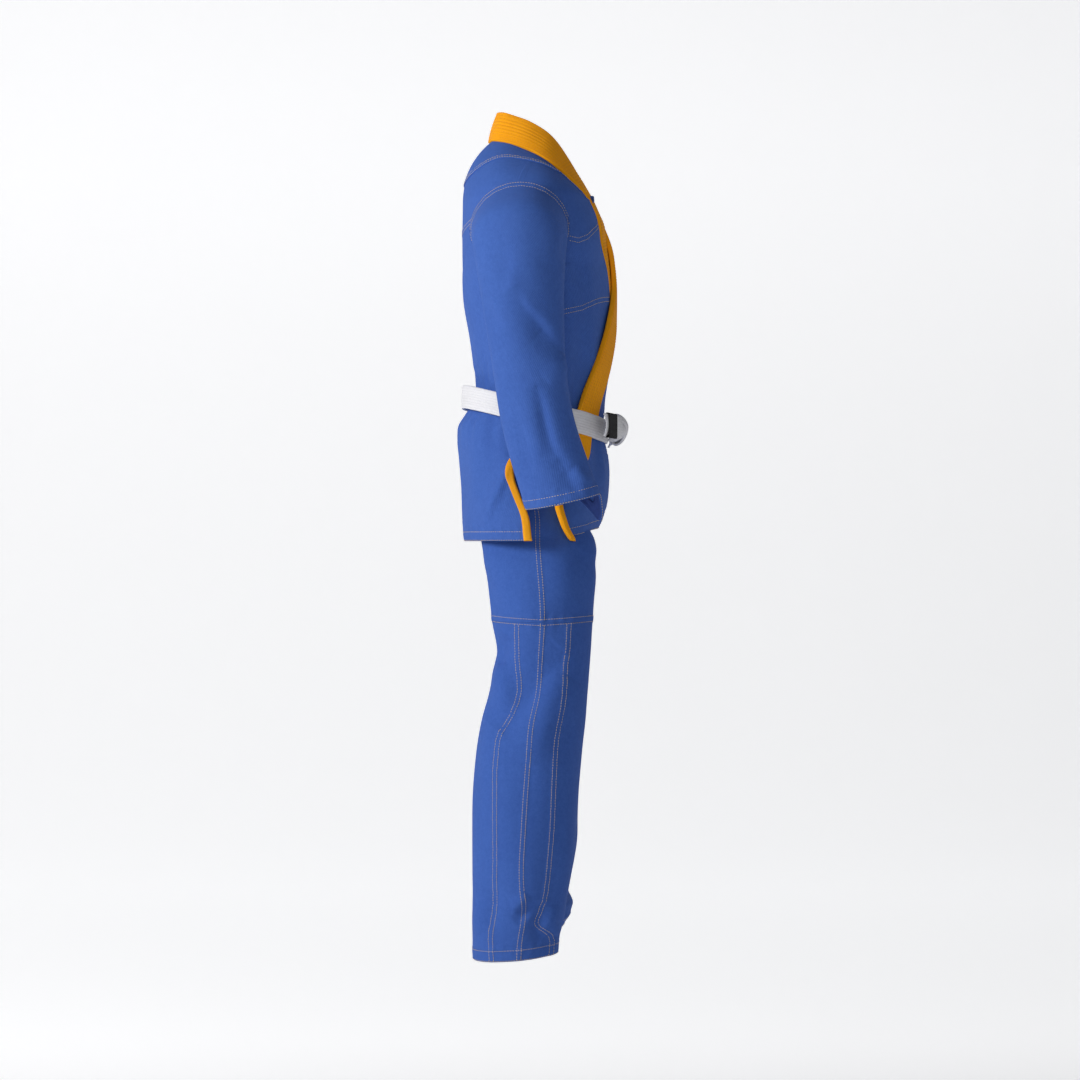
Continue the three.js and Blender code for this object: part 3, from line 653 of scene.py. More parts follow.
def front_relief(p, n, u, v, lu, lv):
    d = body_relief(p)
    upper, lower = chest_rows(p[..., 1])
    on = smooth(-p[..., 1], 36, 42)
    inside = smooth(p[..., 2], lower - 1, lower) * (1 - smooth(p[..., 2], upper, upper + 1))
    d += on * (1.0 * inside - 0.3 * np.exp(-((p[..., 2] - upper + 2) / 1.0) ** 2))
    d += on * (pucker(p[..., 2] - upper, p[..., 1]) + pucker(p[..., 2] - lower, p[..., 1], seed=2))
    d += 1.2 * smooth(u, 0.86, 0.9) * (p[..., 2] < 1165)
    d -= 7.0 * (1 - smooth(u * lu, 9, 20))
    for side in (-1, 1):
        d += fold(p, [(-58, 1075), (-70, 1040), (-78, 1005), (-80, 960)], -3.0, 12, 22, side)
        d += fold(p, [(-92, 1090), (-84, 1040), (-90, 985), (-88, 950)], 2.6, 14, 22, side)
        d += fold(p, [(-50, 1200), (-60, 1165), (-78, 1140)], -2.2, 12, 18, side)
        d += fold(p, [(-30, 1290), (-52, 1262), (-60, 1230)], -2.0, 12, 20, side)
    return d


def inner_front_shape(u, v):
    a, height = front_grid(u, v, inner_edge)
    p = jacket(a, height, body_low(a))
    wrapped = smooth(-p[..., 2], -1215, -1165)
    deep = 7.5 * wrapped * smooth(np.radians(70) - np.radians(a), 0, 0.35)
    deep = deep + 9.5 * smooth(-p[..., 2], -1275, -1215) * (1 - wrapped) * (1 - smooth(u, 0.12, 0.34))
    r = np.radians(a)
    return p - np.stack([np.sin(r), -np.cos(r), 0 * r], -1) * deep[..., None]


left_front_cloth = Cloth(front_shape, front_relief)
left_front = sew("left_front", left_front_cloth, 130, 150, BLUE)
right_front_cloth = Cloth(inner_front_shape, front_relief, mirrored=True)
right_front = sew("right_front", right_front_cloth, 110, 150, BLUE)

# The yoke's lower edge rises over the shoulder; its share of the shoulder is found for each angle.
YOKE_EDGE_Y = [-80, -60, -24, 2, 37, 68, 95, 126, 140]
YOKE_EDGE_Z = [1300, 1318, 1337, 1349, 1358, 1358, 1350, 1326, 1316]
yoke_a = np.linspace(NECK_ANGLE - 6, 180, 60)
rises = np.linspace(0, 1, 200)
yoke_rise = []
for a in yoke_a:
    p = shoulder(np.full(200, a), rises)
    wanted = np.interp(p[:, 1], YOKE_EDGE_Y, YOKE_EDGE_Z)
    above = np.nonzero(p[:, 2] > wanted)[0]
    yoke_rise.append(rises[above[0]] if len(above) else 0.6)
yoke_rise = np.convolve(np.r_[[yoke_rise[0]] * 4, yoke_rise, [yoke_rise[-1]] * 4], np.ones(9) / 9, "valid")


def yoke_shape(u, v):
    a = mix(NECK_ANGLE - 6, 366 - NECK_ANGLE, u)
    start = np.interp(np.minimum(a, 360 - a), yoke_a, yoke_rise)
    return shoulder(a, mix(start, 1.0, v))


def yoke_relief(p, n, u, v, lu, lv):
    d = v * lv
    swell = 1.6 * wander(p, (120, 90, 170), 3)
    return 1.0 + swell + seam(d, 9, 0.4) + pucker(d - 4, u * lu) + 0.6 * smooth(d, -1, 1)


yoke_cloth = Cloth(yoke_shape, yoke_relief)
yoke = sew("shoulder_yoke_cloth", yoke_cloth, 190, 40, BLUE)

# ---- collar --------------------------------------------------------------------------------------
def band_shape(route, low, inner):
    """u runs along the band; v goes across the top face and down both rounded edges."""
    def shape(u, v):
        around = np.clip((v - 0.14) / 0.72, 0, 1)
        across = 2 * around - 1
        edge_drop = np.where(v < 0.14, (0.14 - v) / 0.14, np.where(v > 0.86, (v - 0.86) / 0.14, 0))
        height = low + (5.8 - low) * (1 - edge_drop) + 0 * u
        bulge = 1 + 0.035 * np.sin(np.pi * edge_drop)
        p = collar_point(route, u, across * bulge, height)
        deep = inner * smooth(-p[..., 2], -1265, -1208)
        lift = 4.0 * np.exp(-((p[..., 2] - 1305) / 40) ** 2)
        return p + collar_normal(p) * (lift - deep)[..., None]
    return shape


def band_relief(p, n, u, v, lu, lv):
    face = smooth(v, 0.15, 0.2) * (1 - smooth(v, 0.8, 0.85))
    rib = np.abs(np.sin(np.pi * (v - 0.14) / 0.72 * 9)) ** 0.6 - 0.6
    return face * 0.45 * rib + 0.5 * wander(p, (60, 60, 60), 5) * face


collar = []
band_left = Cloth(band_shape(collar_upper, -3, 0), band_relief)
collar.append(sew("collar_left_half", band_left, 420, 50, ORANGE, thick=1.2))
band_right = Cloth(band_shape(collar_upper, -3, 9.5), band_relief, mirrored=True)
collar.append(sew("collar_right_half", band_right, 420, 50, ORANGE, thick=1.2))

# ---- skirts --------------------------------------------------------------------------------------
def skirt_top(a):
    return belt_height(a) - 6


def back_skirt_shape(u, v):
    low = 706.0
    z = mix(low, 900, v)
    reach = ring_angle(vent_back(z)[0], z)
    a = mix(reach, 360 - reach, u)
    return ring(a, mix(low, skirt_top(a), v))


def back_skirt_relief(p, n, u, v, lu, lv):
    d = cinch(p) + 1.8 * wander(p, (90, 90, 260), 21)
    along = u * 470
    d += hem(v * lv, 18, along, 1)
    edge_gap = np.minimum(u, 1 - u) * lu
    d += 0.8 * (1 - smooth(edge_gap, 13, 15)) - 1.0 * np.exp(-(edge_gap / 1.2) ** 2)
    for side in (-1, 1):
        d += fold(p, [(46, 850), (60, 812), (78, 770), (97, 728)], 4.4, 7, 24, side)
        d += fold(p, [(60, 850), (78, 812), (100, 780)], -3.0, 14, 20, side)
        d += fold(p, [(128, 900), (136, 860), (132, 800), (134, 740)], -2.0, 16, 26, side)
    return d


back_skirt_cloth = Cloth(back_skirt_shape, back_skirt_relief)
back_skirt = sew("skirt_back", back_skirt_cloth, 190, 80, BLUE)

# Angle of the front skirts' edges for each height: they swing open towards the hem.
skirt_edge = through([(706, -48.5), (730, -57.5), (758, -66), (780, -68), (812, -58), (846, -44), (874, -39),
                      (910, -36)])


def front_hem(a):
    return 728 - 22 * np.sin(np.radians(np.minimum(np.abs(a), 90))) ** 2


def front_vent(z):
    return ring_angle(vent_front(z)[0], z)


def left_skirt_shape(u, v):
    z = mix(714, 880, v)
    a = mix(skirt_edge(z)[0] - 1.5, front_vent(z), u)
    return ring(a, mix(front_hem(a), skirt_top(a), v))


def left_skirt_relief(p, n, u, v, lu, lv):
    d = cinch(p) + 1.8 * wander(p, (90, 90, 240), 33) + hem(v * lv, 18, u * 330, 2)
    gap = (1 - u) * lu
    d += 0.8 * (1 - smooth(gap, 13, 15)) - 1.0 * np.exp(-(gap / 1.2) ** 2)
    for side in (-1, 1):
        d += fold(p, [(-98, 860), (-88, 815), (-84, 770), (-88, 735)], -3.2, 14, 22, side)
        d += fold(p, [(-112, 860), (-106, 810), (-104, 760)], 3.0, 14, 20, side)
    return d


left_skirt_cloth = Cloth(left_skirt_shape, left_skirt_relief)
left_skirt = sew("skirt_front_outer", left_skirt_cloth, 160, 80, BLUE)


def right_skirt_shape(u, v):
    z = mix(714, 880, v)
    a = mix(-front_vent(z) + 7, -skirt_edge(z)[0] + 1.5, u)
    return ring(a, mix(front_hem(a) + 4, skirt_top(a), v), -8.5)


def right_skirt_relief(p, n, u, v, lu, lv):
    return 1.2 * wander(p, (90, 90, 240), 35) + hem(v * lv, 18, u * 330, 3)


right_skirt_cloth = Cloth(right_skirt_shape, right_skirt_relief)
right_skirt = sew("skirt_front_inner", right_skirt_cloth, 120, 60, BLUE)


def end_shape(deep):
    """The lower end of the band: its face shows for a thumb's width, then it curls in towards the body."""
    def shape(u, v):
        z = mix(908, 706.5, u)
        lower = smooth(-z, -868, -812)
        edge_a = skirt_edge(z)[0]
        around = np.clip((v - 0.12) / 0.76, 0, 1)
        off = (1 - around) * COLLAR_WIDTH
        turn_at = mix(60.0, 7.5, lower)
        radius = 5.5
        past = np.maximum(off - turn_at, 0)
        bend = np.minimum(past / radius, math.radians(97) * lower)
        straight = np.maximum(past - bend * radius, 0)
        flat = np.minimum(off, turn_at) + radius * np.sin(bend) + straight * np.cos(bend)
        inward = radius * (1 - np.cos(bend)) + straight * np.sin(bend)
        half = torso(z)[0]
        on = ring(edge_a - np.degrees(flat / half), z + 0 * v)
        out = unit(np.array([-1.0, 0.14, 0]))
        drop = np.where(v < 0.12, (0.12 - v) / 0.12, np.where(v > 0.88, (v - 0.88) / 0.12, 0))
        ends = smooth(u, 0.975, 1.0) * 2.0
        height = mix(4.6, -1.6, drop) - deep - ends
        half_out = unit(stack(on[..., 0] / half ** 2, (on[..., 1] - 13) / 125 ** 2, 0 * half))
        sideways = unit(np.cross(half_out, [0, 0, 1.0]))
        turned = unit(half_out * np.cos(bend)[..., None] + sideways * np.sin(bend)[..., None])
        return on - out * inward[..., None] + turned * height[..., None]
    return shape


def end_relief(p, n, u, v, lu, lv):
    face = smooth(v, 0.14, 0.2) * (1 - smooth(v, 0.8, 0.86))
    return face * 0.35 * (np.abs(np.sin(np.pi * (v - 0.12) / 0.76 * 9)) ** 0.6 - 0.6)


end_outer_cloth = Cloth(end_shape(0), end_relief)
end_outer = sew("collar_end_outer", end_outer_cloth, 120, 50, ORANGE, thick=1.2)
end_inner_cloth = Cloth(end_shape(15), end_relief, mirrored=True)
end_inner = sew("collar_end_inner", end_inner_cloth, 120, 50, ORANGE, thick=1.2)


def tape_on(cloth, last, high):
    """A tape folded over a panel's first or last edge; it follows the panel's folds."""
    def shape(u, v):
        up = high * v
        near, far = (1.0, 0.98) if last else (0.0, 0.02)
        span = np.linalg.norm(cloth.shape(far + 0 * up, up) - cloth.shape(near + 0 * up, up), axis=-1) / 0.02
        d = 14.5 * (1 - u if last else u) - 0.6
        lift = 2.3 - 1.8 * np.abs(2 * u - 1) ** 6
        spot = 1 - d / span if last else d / span
        p, n = cloth.at(np.clip(spot, 0, 1), up)
        return p + n * lift[..., None]
    return shape


def tape_relief(p, n, u, v, lu, lv):
    return 0.2 * np.sin(np.pi * u * 5) ** 2


tape_cloths = {
    "tape_back_left": Cloth(tape_on(back_skirt_cloth, False, 0.86), tape_relief),
    "tape_back_right": Cloth(tape_on(back_skirt_cloth, True, 0.86), tape_relief),
    "tape_front_left": Cloth(tape_on(left_skirt_cloth, True, 0.86), tape_relief),
}
tapes = {name: sew(name, cloth, 10, 110, TAPE, thick=2.0) for name, cloth in tape_cloths.items()}

# ---- sleeves -------------------------------------------------------------------------------------
bpy.context.view_layer.update()
trees = []
for piece in (back, left_front, right_front, yoke):
    co = np.array([v.co for v in piece.data.vertices])
    trees.append(BVHTree.FromPolygons([tuple(c) for c in co], [tuple(f.vertices) for f in piece.data.polygons]))


def body_side(side):
    """How far out the jacket's cloth is along the seam of each armhole, for angles round the seam."""
    deep, tall = SLEEVE[0][4:6]
    out = []
    for k in range(96):
        t = 2 * math.pi * k / 96
        y, z = ARM_Y + deep * math.cos(t), ARM_Z + tall * math.sin(t)
        start = Vector((side * 0.4, y * MM, LOW.z + z * MM))
        hits = [tree.ray_cast(start, Vector((-side, 0, 0))) for tree in trees]
        found = [abs(h[0].x) / MM for h in hits if h[0] is not None and abs(h[0].x) / MM > 60]
        out.append(max(found) if found else np.nan)
    out = np.array(out)
    good = ~np.isnan(out)
    where = np.arange(96)
    out = np.interp(where, where[good], out[good], period=96)
    spread = np.r_[out[-4:], out, out[:4]]
    return np.convolve(spread, np.array([1, 2, 3, 4, 5, 4, 3, 2, 1]) / 25, "valid")


seam_out = {"right": body_side(-1), "left": body_side(1)}


def sleeve_shape(side):
    table = np.r_[seam_out[side], seam_out[side][0]]

    def shape(u, v):
        station = 6 * (1 - v)
        x, y, z, depth, height, tilt = sleeve_rows(station)
        t = mix(-0.5 * np.pi, 1.5 * np.pi, u)
        tilt = np.radians(tilt)
        across = depth * np.cos(t)
        up = height * np.sin(t)
        p = stack(x - up * np.sin(tilt), y + across, z + up * np.cos(tilt))
        flange = np.interp(np.mod(t, 2 * np.pi) / (2 * np.pi) * 96, np.arange(97), table) + 1.2
        join = 1 - smooth(station, 0.0, 1.25)
        p[..., 0] = mix(p[..., 0], -flange, join)
        low = smooth(station, 3.8, 6)
        corner = np.exp(-((np.mod(t, 2 * np.pi) - np.pi - 0.62) / 0.4) ** 2)
        p[..., 1] -= 13 * corner * low
        p[..., 2] += low * (0.3 * (height - up) - 0.215 * across - 6 - 44 * corner)
        return p
    return shape


def sleeve_relief(p, n, u, v, lu, lv):
    station = 6 * (1 - v)
    along = v * lv
    d = 1.3 * wander(p, (80, 80, 240), 41) * smooth(station, 0.2, 1.0)
    gap = (1 - v) * lv
    d += seam(gap, 10, 1.0) + pucker(gap - 5, u * 470, 16, 21, 0.5) * smooth(gap, -1, 4)
    d += hem(along, 18, u * 330, 5)
    d += 1.0 * np.exp(-((np.minimum(u, 1 - u) * lu - 5) / 5.0) ** 2) * smooth(station, 0.3, 0.8)
    return d


FOLDS_OUT = [  # on the outer side of a sleeve: line, height, steep side, soft side
    ([(44, 1120), (26, 1084), (3, 1061), (-19, 1035), (-42, 1008)], -5.5, 10, 26),
    ([(58, 1150), (44, 1112), (22, 1078), (-4, 1050)], 3.4, 16, 30),
    ([(8, 960), (-3, 920), (-11, 886), (-19, 859), (-44, 826)], -4.6, 9, 20),
    ([(24, 965), (12, 925), (4, 880), (-8, 845)], 2.8, 14, 24),
    ([(62, 1196), (60, 1150), (66, 1110)], -2.4, 14, 26),
    ([(-36, 1236), (-30, 1196), (-24, 1160)], 3.0, 12, 24),
    ([(-52, 1240), (-44, 1206), (-38, 1160)], -3.0, 9, 18),
    ([(-50, 1010), (-36, 985), (-12, 965)], 3.0, 12, 24),
    ([(-56, 826), (-72, 808), (-86, 800)], 4.0, 9, 13),
    ([(-30, 840), (-48, 806), (-58, 780)], -2.6, 10, 18),
    ([(36, 900), (26, 862), (20, 815)], -2.2, 12, 20),
    ([(88, 1110), (82, 1075), (64, 1050)], -2.6, 10, 18),
]


def sleeve_relief_outer(p, n, u, v, lu, lv):
    d = sleeve_relief(p, n, u, v, lu, lv)
    face = smooth(np.abs(n[..., 0]), 0.05, 0.5) * smooth(np.abs(p[..., 0]), 236, 262)
    for line, height, sharp, soft in FOLDS_OUT:
        for side in (-1, 1):
            d += face * fold(p, line, height, sharp, soft, side)
    inner = smooth(-np.abs(p[..., 0]), -246, -222) * smooth(1 - v, 0.25, 0.4)
    for line, height, sharp, soft in FOLDS_OUT[:4]:
        for side in (-1, 1):
            d += inner * 0.8 * fold(p + [0, 12, 30], line, height, sharp, soft, side)
    return d


sleeve_cloths = {
    "right": Cloth(sleeve_shape("right"), sleeve_relief_outer),
    "left": Cloth(sleeve_shape("left"), sleeve_relief_outer, mirrored=True),
}
sleeves = {}
for side, cloth in sleeve_cloths.items():
    sleeves[side] = sew(f"{side}_sleeve_cloth", cloth, 170, 230, BLUE, closed=True)


def lined(name, cloth, gap):
    """The facing inside a cuff or a hem: it follows the cloth, gap further in."""
    facing = Cloth(lambda u, v: cloth.at(u, 0.0015 + 0.04 * v, -gap)[0])
    return sew(name, facing, 120, 8, LINING, thick=1.0, closed=True)


linings = {side: lined(f"{side}_cuff_lining", cloth, 2.6) for side, cloth in sleeve_cloths.items()}

# ---- belt ----------------------------------------------------------------------------------------
BELT_OUT = 8.6  # how far the belt stands off the jacket's body


def belt_shape(start, out):
    def shape(u, v):
        a = start + mix(0.5, 359.5, u)
        edge_drop = 1.6 * np.abs(2 * v - 1) ** 10
        p = ring(a, np.full(np.shape(a), 925.0), out - edge_drop)
        p[..., 2] = belt_height(a) + BELT_WIDTH * (v - 0.5)
        return p
    return shape


def belt_relief(p, n, u, v, lu, lv):
    rows = np.abs(np.sin(np.pi * v * 8.5)) ** 0.5 - 0.7
    return 0.35 * rows + 0.5 * wander(p, (70, 70, 90), 51)


belt_cloths = {
    "belt_under": Cloth(belt_shape(180, BELT_OUT - 2.6), belt_relief),
    "belt_over": Cloth(belt_shape(0, BELT_OUT), belt_relief),
}
belts = {name: sew(name, cloth, 420, 34, WHITE, thick=1.9) for name, cloth in belt_cloths.items()}

front_y = float(ring(0.0, 925.0, BELT_OUT)[1])


def strap(points, normals, width, thick, least=1.0, swell=0.0):
    """A strap of the belt along a route; u runs along it and v across its outer face.

    Its ends are drawn in to the least share of the width, and it swells in the middle.
    """
    route = Route(points)
    normals = np.array(normals, float)
    at = np.linspace(0, 1, len(normals))

    def shape(u, v):
        c = route.at(u)
        t = route.tangent(u)
        n = unit(np.stack([np.interp(u, at, normals[:, k]) for k in range(3)], -1))
        side = unit(np.cross(n, t))
        n = unit(np.cross(t, side))
        w = width * (least + swell * np.sin(np.pi * u))
        around = np.clip((v - 0.08) / 0.84, 0, 1)
        drop = np.where(v < 0.08, (0.08 - v) / 0.08, np.where(v > 0.92, (v - 0.92) / 0.08, 0))
        off = (around - 0.5) * w
        cup = -0.09 * w * (2 * around - 1) ** 2
        return c + side * off[..., None] + n * (thick / 2 - thick * drop + cup)[..., None]
    return shape


def strap_relief(p, n, u, v, lu, lv):
    face = smooth(v, 0.1, 0.14) * (1 - smooth(v, 0.86, 0.9))
    return face * 0.4 * (np.abs(np.sin(np.pi * (v - 0.08) / 0.84 * 8.5)) ** 0.5 - 0.7)


# The knot: each loop's route from the knot's middle, the way its outer face looks, its width, the
# share of the width left at its ends, and its swell.
KNOT_LOOPS = {
    "knot_core": (
        [(20, 9, -17), (14, -6, -22), (3, -17, -8), (-4, -18, 8), (-14, -6, 20), (-20, 9, 16)],
        [(0.2, -0.3, -1), (0.2, -0.8, -0.7), (0, -1, -0.2), (0, -1, 0.3), (-0.2, -0.7, 0.8), (-0.2, -0.2, 1)],
        34, 0.75, 0.3),
    "knot_right": (
        [(10, 4, 17), (-4, -6, 19), (-19, -10, 8), (-24, -6, -6), (-16, 2, -19), (0, 8, -20)],
        [(0.1, -0.4, 1), (-0.2, -0.6, 1), (-0.8, -0.8, 0.4), (-1, -0.6, -0.3), (-0.5, -0.4, -1), (0, -0.2, -1)],
        26, 0.8, 0.25),
    "knot_left": (
        [(-8, 6, -18), (8, -4, -20), (21, -8, -7), (24, -5, 7), (14, 2, 18), (-2, 8, 18)],
        [(0, -0.3, -1), (0.2, -0.5, -1), (0.9, -0.7, -0.4), (1, -0.6, 0.3), (0.5, -0.4, 1), (0, -0.2, 1)],
        26, 0.8, 0.25),
}
KNOT_Z = 902.0
knot_y = front_y - 15
knot_cloths = {}
for name, (route, normals, width, least, swell) in KNOT_LOOPS.items():
    points = [(x, knot_y + y, KNOT_Z + z) for x, y, z in route]
    knot_cloths[name] = Cloth(strap(points, normals, width, 3.4, least, swell), strap_relief)
knots = {name: sew(name, cloth, 90, 34, WHITE, thick=2.6) for name, cloth in knot_cloths.items()}


TAIL_LENGTH = 126.0
TAIL_TUCK = 8.0  # how much of a tail is inside the knot
TAIL_TURNS = {"right": (15, 0), "left": (8, 4)}  # degrees a tail points back, and down


def tail_cloth(side):
    """A tail's cloth, where its middle line starts, the way it runs and the way its face looks."""
    lo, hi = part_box(f"{side}_belt_tail")
    turn, drop = (math.radians(angle) for angle in TAIL_TURNS[side])
    if side == "right":
        sign, inner_x, centre_z = -1, hi.x, (lo.z + hi.z) / 2
    else:
        sign, inner_x, centre_z = 1, lo.x, hi.z - 20 * MM * math.cos(drop)
    way = np.array([sign * math.cos(turn) * math.cos(drop), math.sin(turn), -math.sin(drop)])
    start = np.array([inner_x / MM, lo.y / MM + 2, (centre_z - LOW.z) / MM])
    front = unit(np.cross(way, [0, 0, 1.0]))
    if front[1] > 0:
        front = -front
    points, normals = [], []
    for k in range(8):
        s = TAIL_LENGTH * k / 7 - TAIL_TUCK
        wave = 1.3 * math.sin(k * 1.1 + (0.6 if side == "left" else 0))
        points.append(start + way * s + front * wave)
        normals.append(front + np.array([0, 0, 0.10 * math.sin(k * 0.9)]))
    return Cloth(strap(points, normals, BELT_WIDTH - 1.0, 3.0), strap_relief), start, way, front


tail_data = {side: tail_cloth(side) for side in ("right", "left")}
tails = {}
for side, data in tail_data.items():
    tails[side] = sew(f"{side}_tail_strap", data[0], 120, 40, WHITE, thick=2.6)

# The black bar is a sleeve of cloth round the right tail.
def bar_shape(u, v):
    _, start, way, front = tail_data["right"]
    s = mix(54, 114, u)
    t = v * 2 * np.pi
    wide, deep = 20.6, 2.75
    cx = np.sign(np.cos(t)) * np.abs(np.cos(t)) ** 0.16 * wide
    cy = np.sign(np.sin(t)) * np.abs(np.sin(t)) ** 0.5 * deep
    c = np.stack([np.full(np.shape(s), start[k]) for k in range(3)], -1) + way * (s - TAIL_TUCK)[..., None]
    return c + np.array([0, 0, 1.0]) * cx[..., None] - front * cy[..., None]


bar_cloth = Cloth(bar_shape, lambda p, n, u, v, lu, lv: 0.25 * np.sin(np.pi * u * 13) ** 2)
bar = sew("rank_bar_sleeve", bar_cloth, 60, 72, BLACK, thick=0.8, closed=True)


# ---- trousers ------------------------------------------------------------------------------------
def stand(p, left):
    """Hems dip at the heel and rise over the foot; the left one is pushed further forward by the foot."""
    p = p.copy()
    z = p[..., 2]
    ahead = np.clip((42 - p[..., 1]) / 75, -1, 1)
    if left:
        front = smooth(ahead, -0.6, 0.9)
        p[..., 1] -= front * (6 * smooth(-z, -560, -200) + 17 * smooth(-z, -82, -40) - 9 * smooth(-z, -22, 0))
    p[..., 2] = z + (1 - smooth(z, 0, 120)) * ((1 + 6 * ahead) + left * 15 * smooth(ahead, 0.2, 1.0))
    return p


def leg_at(u, z, left):
    """u goes round the leg from the inseam by the back, the outside and the front."""
    x, half, front, back = leg_rows(z)
    r = 2 * np.pi * u
    leg = stack(x + half * np.cos(r), (front + back) / 2 + (back - front) / 2 * np.sin(r), z)
    hip_half, hip_front, hip_back = hips(z)
    turn = np.pi * (0.5 + u)
    hip_y = (hip_front + hip_back) / 2 + (hip_back - hip_front) / 2 * np.sin(turn)
    hip = stack(hip_half * np.minimum(0, np.cos(turn)), hip_y, z)
    return stand(mix(leg, hip, smooth(z, 735, 800)[..., None]), left)


def leg_u(y, z):
    """Where round the leg the outer side passes depth y."""
    _, _, front, back = leg_rows(z)
    return 0.5 - np.arcsin(np.clip((y - (front + back) / 2) / ((back - front) / 2), -0.98, 0.98)) / (2 * np.pi)


LINES = {  # seams of the lower leg on its outer side, as (height, depth)
    "side": [(700, 4), (565, -4), (505, 0), (456, 3), (396, 15), (337, 20), (238, 27), (118, 30), (92, 27),
             (24, 35), (0, 36)],
    "back": [(565, 39), (505, 39), (444, 40), (407, 55), (385, 66), (337, 74), (280, 75), (122, 77), (88, 78),
             (43, 82), (0, 80)],
    "front": [(565, -50), (505, -45), (443, -38), (372, -27), (305, -23), (187, -18), (103, -8), (80, -2),
              (58, 3), (40, -14), (0, -17)],
}
line_of = {name: through(rows) for name, rows in LINES.items()}

LEG_FOLDS = [
    ([(-44, 520), (-14, 490), (12, 456), (40, 420), (68, 384)], -8.0, 20, 40),
    ([(70, 500), (66, 470), (62, 446), (74, 420)], 6.0, 15, 22),
    ([(52, 545), (66, 516), (74, 498)], -4.0, 12, 20),
    ([(-60, 470), (-30, 430), (4, 380), (24, 330)], 4.5, 24, 46),
    ([(-66, 600), (-40, 570), (-20, 530)], -2.5, 18, 26),
    ([(20, 112), (34, 96), (50, 92)], 4.5, 10, 14),
    ([(12, 104), (24, 84), (40, 66)], -5.0, 9, 16),
    ([(-12, 98), (-2, 74), (2, 52), (-10, 38)], -5.5, 9, 15),
    ([(-26, 92), (-18, 62), (-26, 40)], 3.5, 10, 16),
    ([(70, 130), (78, 88), (84, 50)], -3.0, 11, 18),
    ([(90, 96), (98, 66), (102, 40)], 2.5, 12, 18),
    ([(40, 640), (20, 600), (-10, 575)], 2.0, 24, 34),
    ([(92, 640), (80, 600), (60, 575)], -2.4, 18, 26),
]


def leg_row(y):
    """Height of the seam round the leg: it sits a little higher in front and behind."""
    return LEG_ROW + 0.06 * np.abs(y)


def leg_relief(left):
    def relief(p, n, u, v, lu, lv):
        z = p[..., 2]
        q = p + np.array([0, 1.0, 0]) * (8 * smooth(-z, -560, 0) * left)[..., None]
        side = 1 if left else -1
        d = 2.0 * wander(q, (90, 110, 300), 61 + left)
        face = smooth(np.abs(n[..., 0]), 0.05, 0.45) * smooth(np.abs(q[..., 0]), 96, 112)
        for line, height, sharp, soft in LEG_FOLDS:
            d += face * fold(q, line, height * (0.85 if left else 1), sharp, soft, side)
        inner = smooth(-np.abs(q[..., 0]), -104, -92)
        for line, height, sharp, soft in LEG_FOLDS[:9]:
            d += inner * 0.7 * fold(q + [0, 8, -14], line, height, sharp, soft, side)
        outer = smooth(np.abs(q[..., 0]), 90, 104) * smooth(-z, -700, -690)
        for name in LINES:
            gap = q[..., 1] - line_of[name](z)[0]
            on = outer if name == "side" else outer * smooth(-z, -571, -565)
            d += on * (seam(gap + 4.5, 9.0, 0.8) + pucker(gap, z, 13, 19, 0.45, len(name)))
        row = leg_row(q[..., 1])
        d += seam(z - row + 6, 12, 0.8) + pucker(z - row, u * 480, 13, 18, 0.45)
        d += hem(v * lv, 20, u * 470, 7 + left) * (z < 90)
        return d
    return relief


def leg_shape(left, bottom, top):
    return lambda u, v: leg_at(u, mix(bottom, top, v), left)


leg_cloths, legs_low, legs_up = {}, {}, {}
for side, left in (("right", 0), ("left", 1)):
    low_cloth = Cloth(leg_shape(left, 0, LEG_ROW), leg_relief(left), mirrored=bool(left))
    up_cloth = Cloth(leg_shape(left, HIP_LOW, HIP_TOP), leg_relief(left), mirrored=bool(left))
    leg_cloths[side] = (low_cloth, up_cloth)
    legs_low[side] = sew(f"{side}_leg_cloth", low_cloth, 190, 230, TWILL, thick=2.0, closed=True)
    legs_up[side] = sew(f"{side}_hip_cloth", up_cloth, 190, 120, TWILL, thick=2.0)
    linings[f"leg_{side}"] = lined(f"{side}_hem_lining", low_cloth, 2.2)


def waist_shape(out, top):
    def shape(u, v):
        a = np.radians(mix(2.5, 357.5, u))
        z = mix(955, top, v)
        half, front, back = hips(z)
        edge_drop = 1.2 * np.abs(2 * v - 1) ** 10
        grow = out - edge_drop
        return stack((half + grow) * np.sin(a), (front + back) / 2 - ((back - front) / 2 + grow) * np.cos(a), z)
    return shape


def waist_relief(p, n, u, v, lu, lv):
    gather = np.sin(u * 2 * np.pi * 46 + 2 * np.sin(u * 40)) + 0.6 * np.sin(u * 2 * np.pi * 83 + 1)
    return 0.7 * gather * np.sin(np.pi * v) ** 0.5


waist_cloth = Cloth(waist_shape(1.0, 996), waist_relief)
waist = sew("waistband_cloth", waist_cloth, 420, 16, TWILL, thick=2.0)
waist_inner_cloth = Cloth(waist_shape(-4.5, 995))
waist_inner = sew("waistband_lining", waist_inner_cloth, 160, 8, LINING, thick=1.5)


# ---- rows of thread ------------------------------------------------------------------------------
def row_at(cloth, d, start=0.0, end=1.0, top=False, n=90):
    """A row of thread along a panel, d in from its lower or upper edge."""
    u = np.linspace(start, end, n)
    near, far = (1.0, 0.97) if top else (0.0, 0.03)
    span = np.linalg.norm(cloth.shape(u, np.full(n, far)) - cloth.shape(u, np.full(n, near)), axis=-1) / 0.03
    v = 1 - d / span if top else d / span
    return cloth, np.column_stack([u, v])


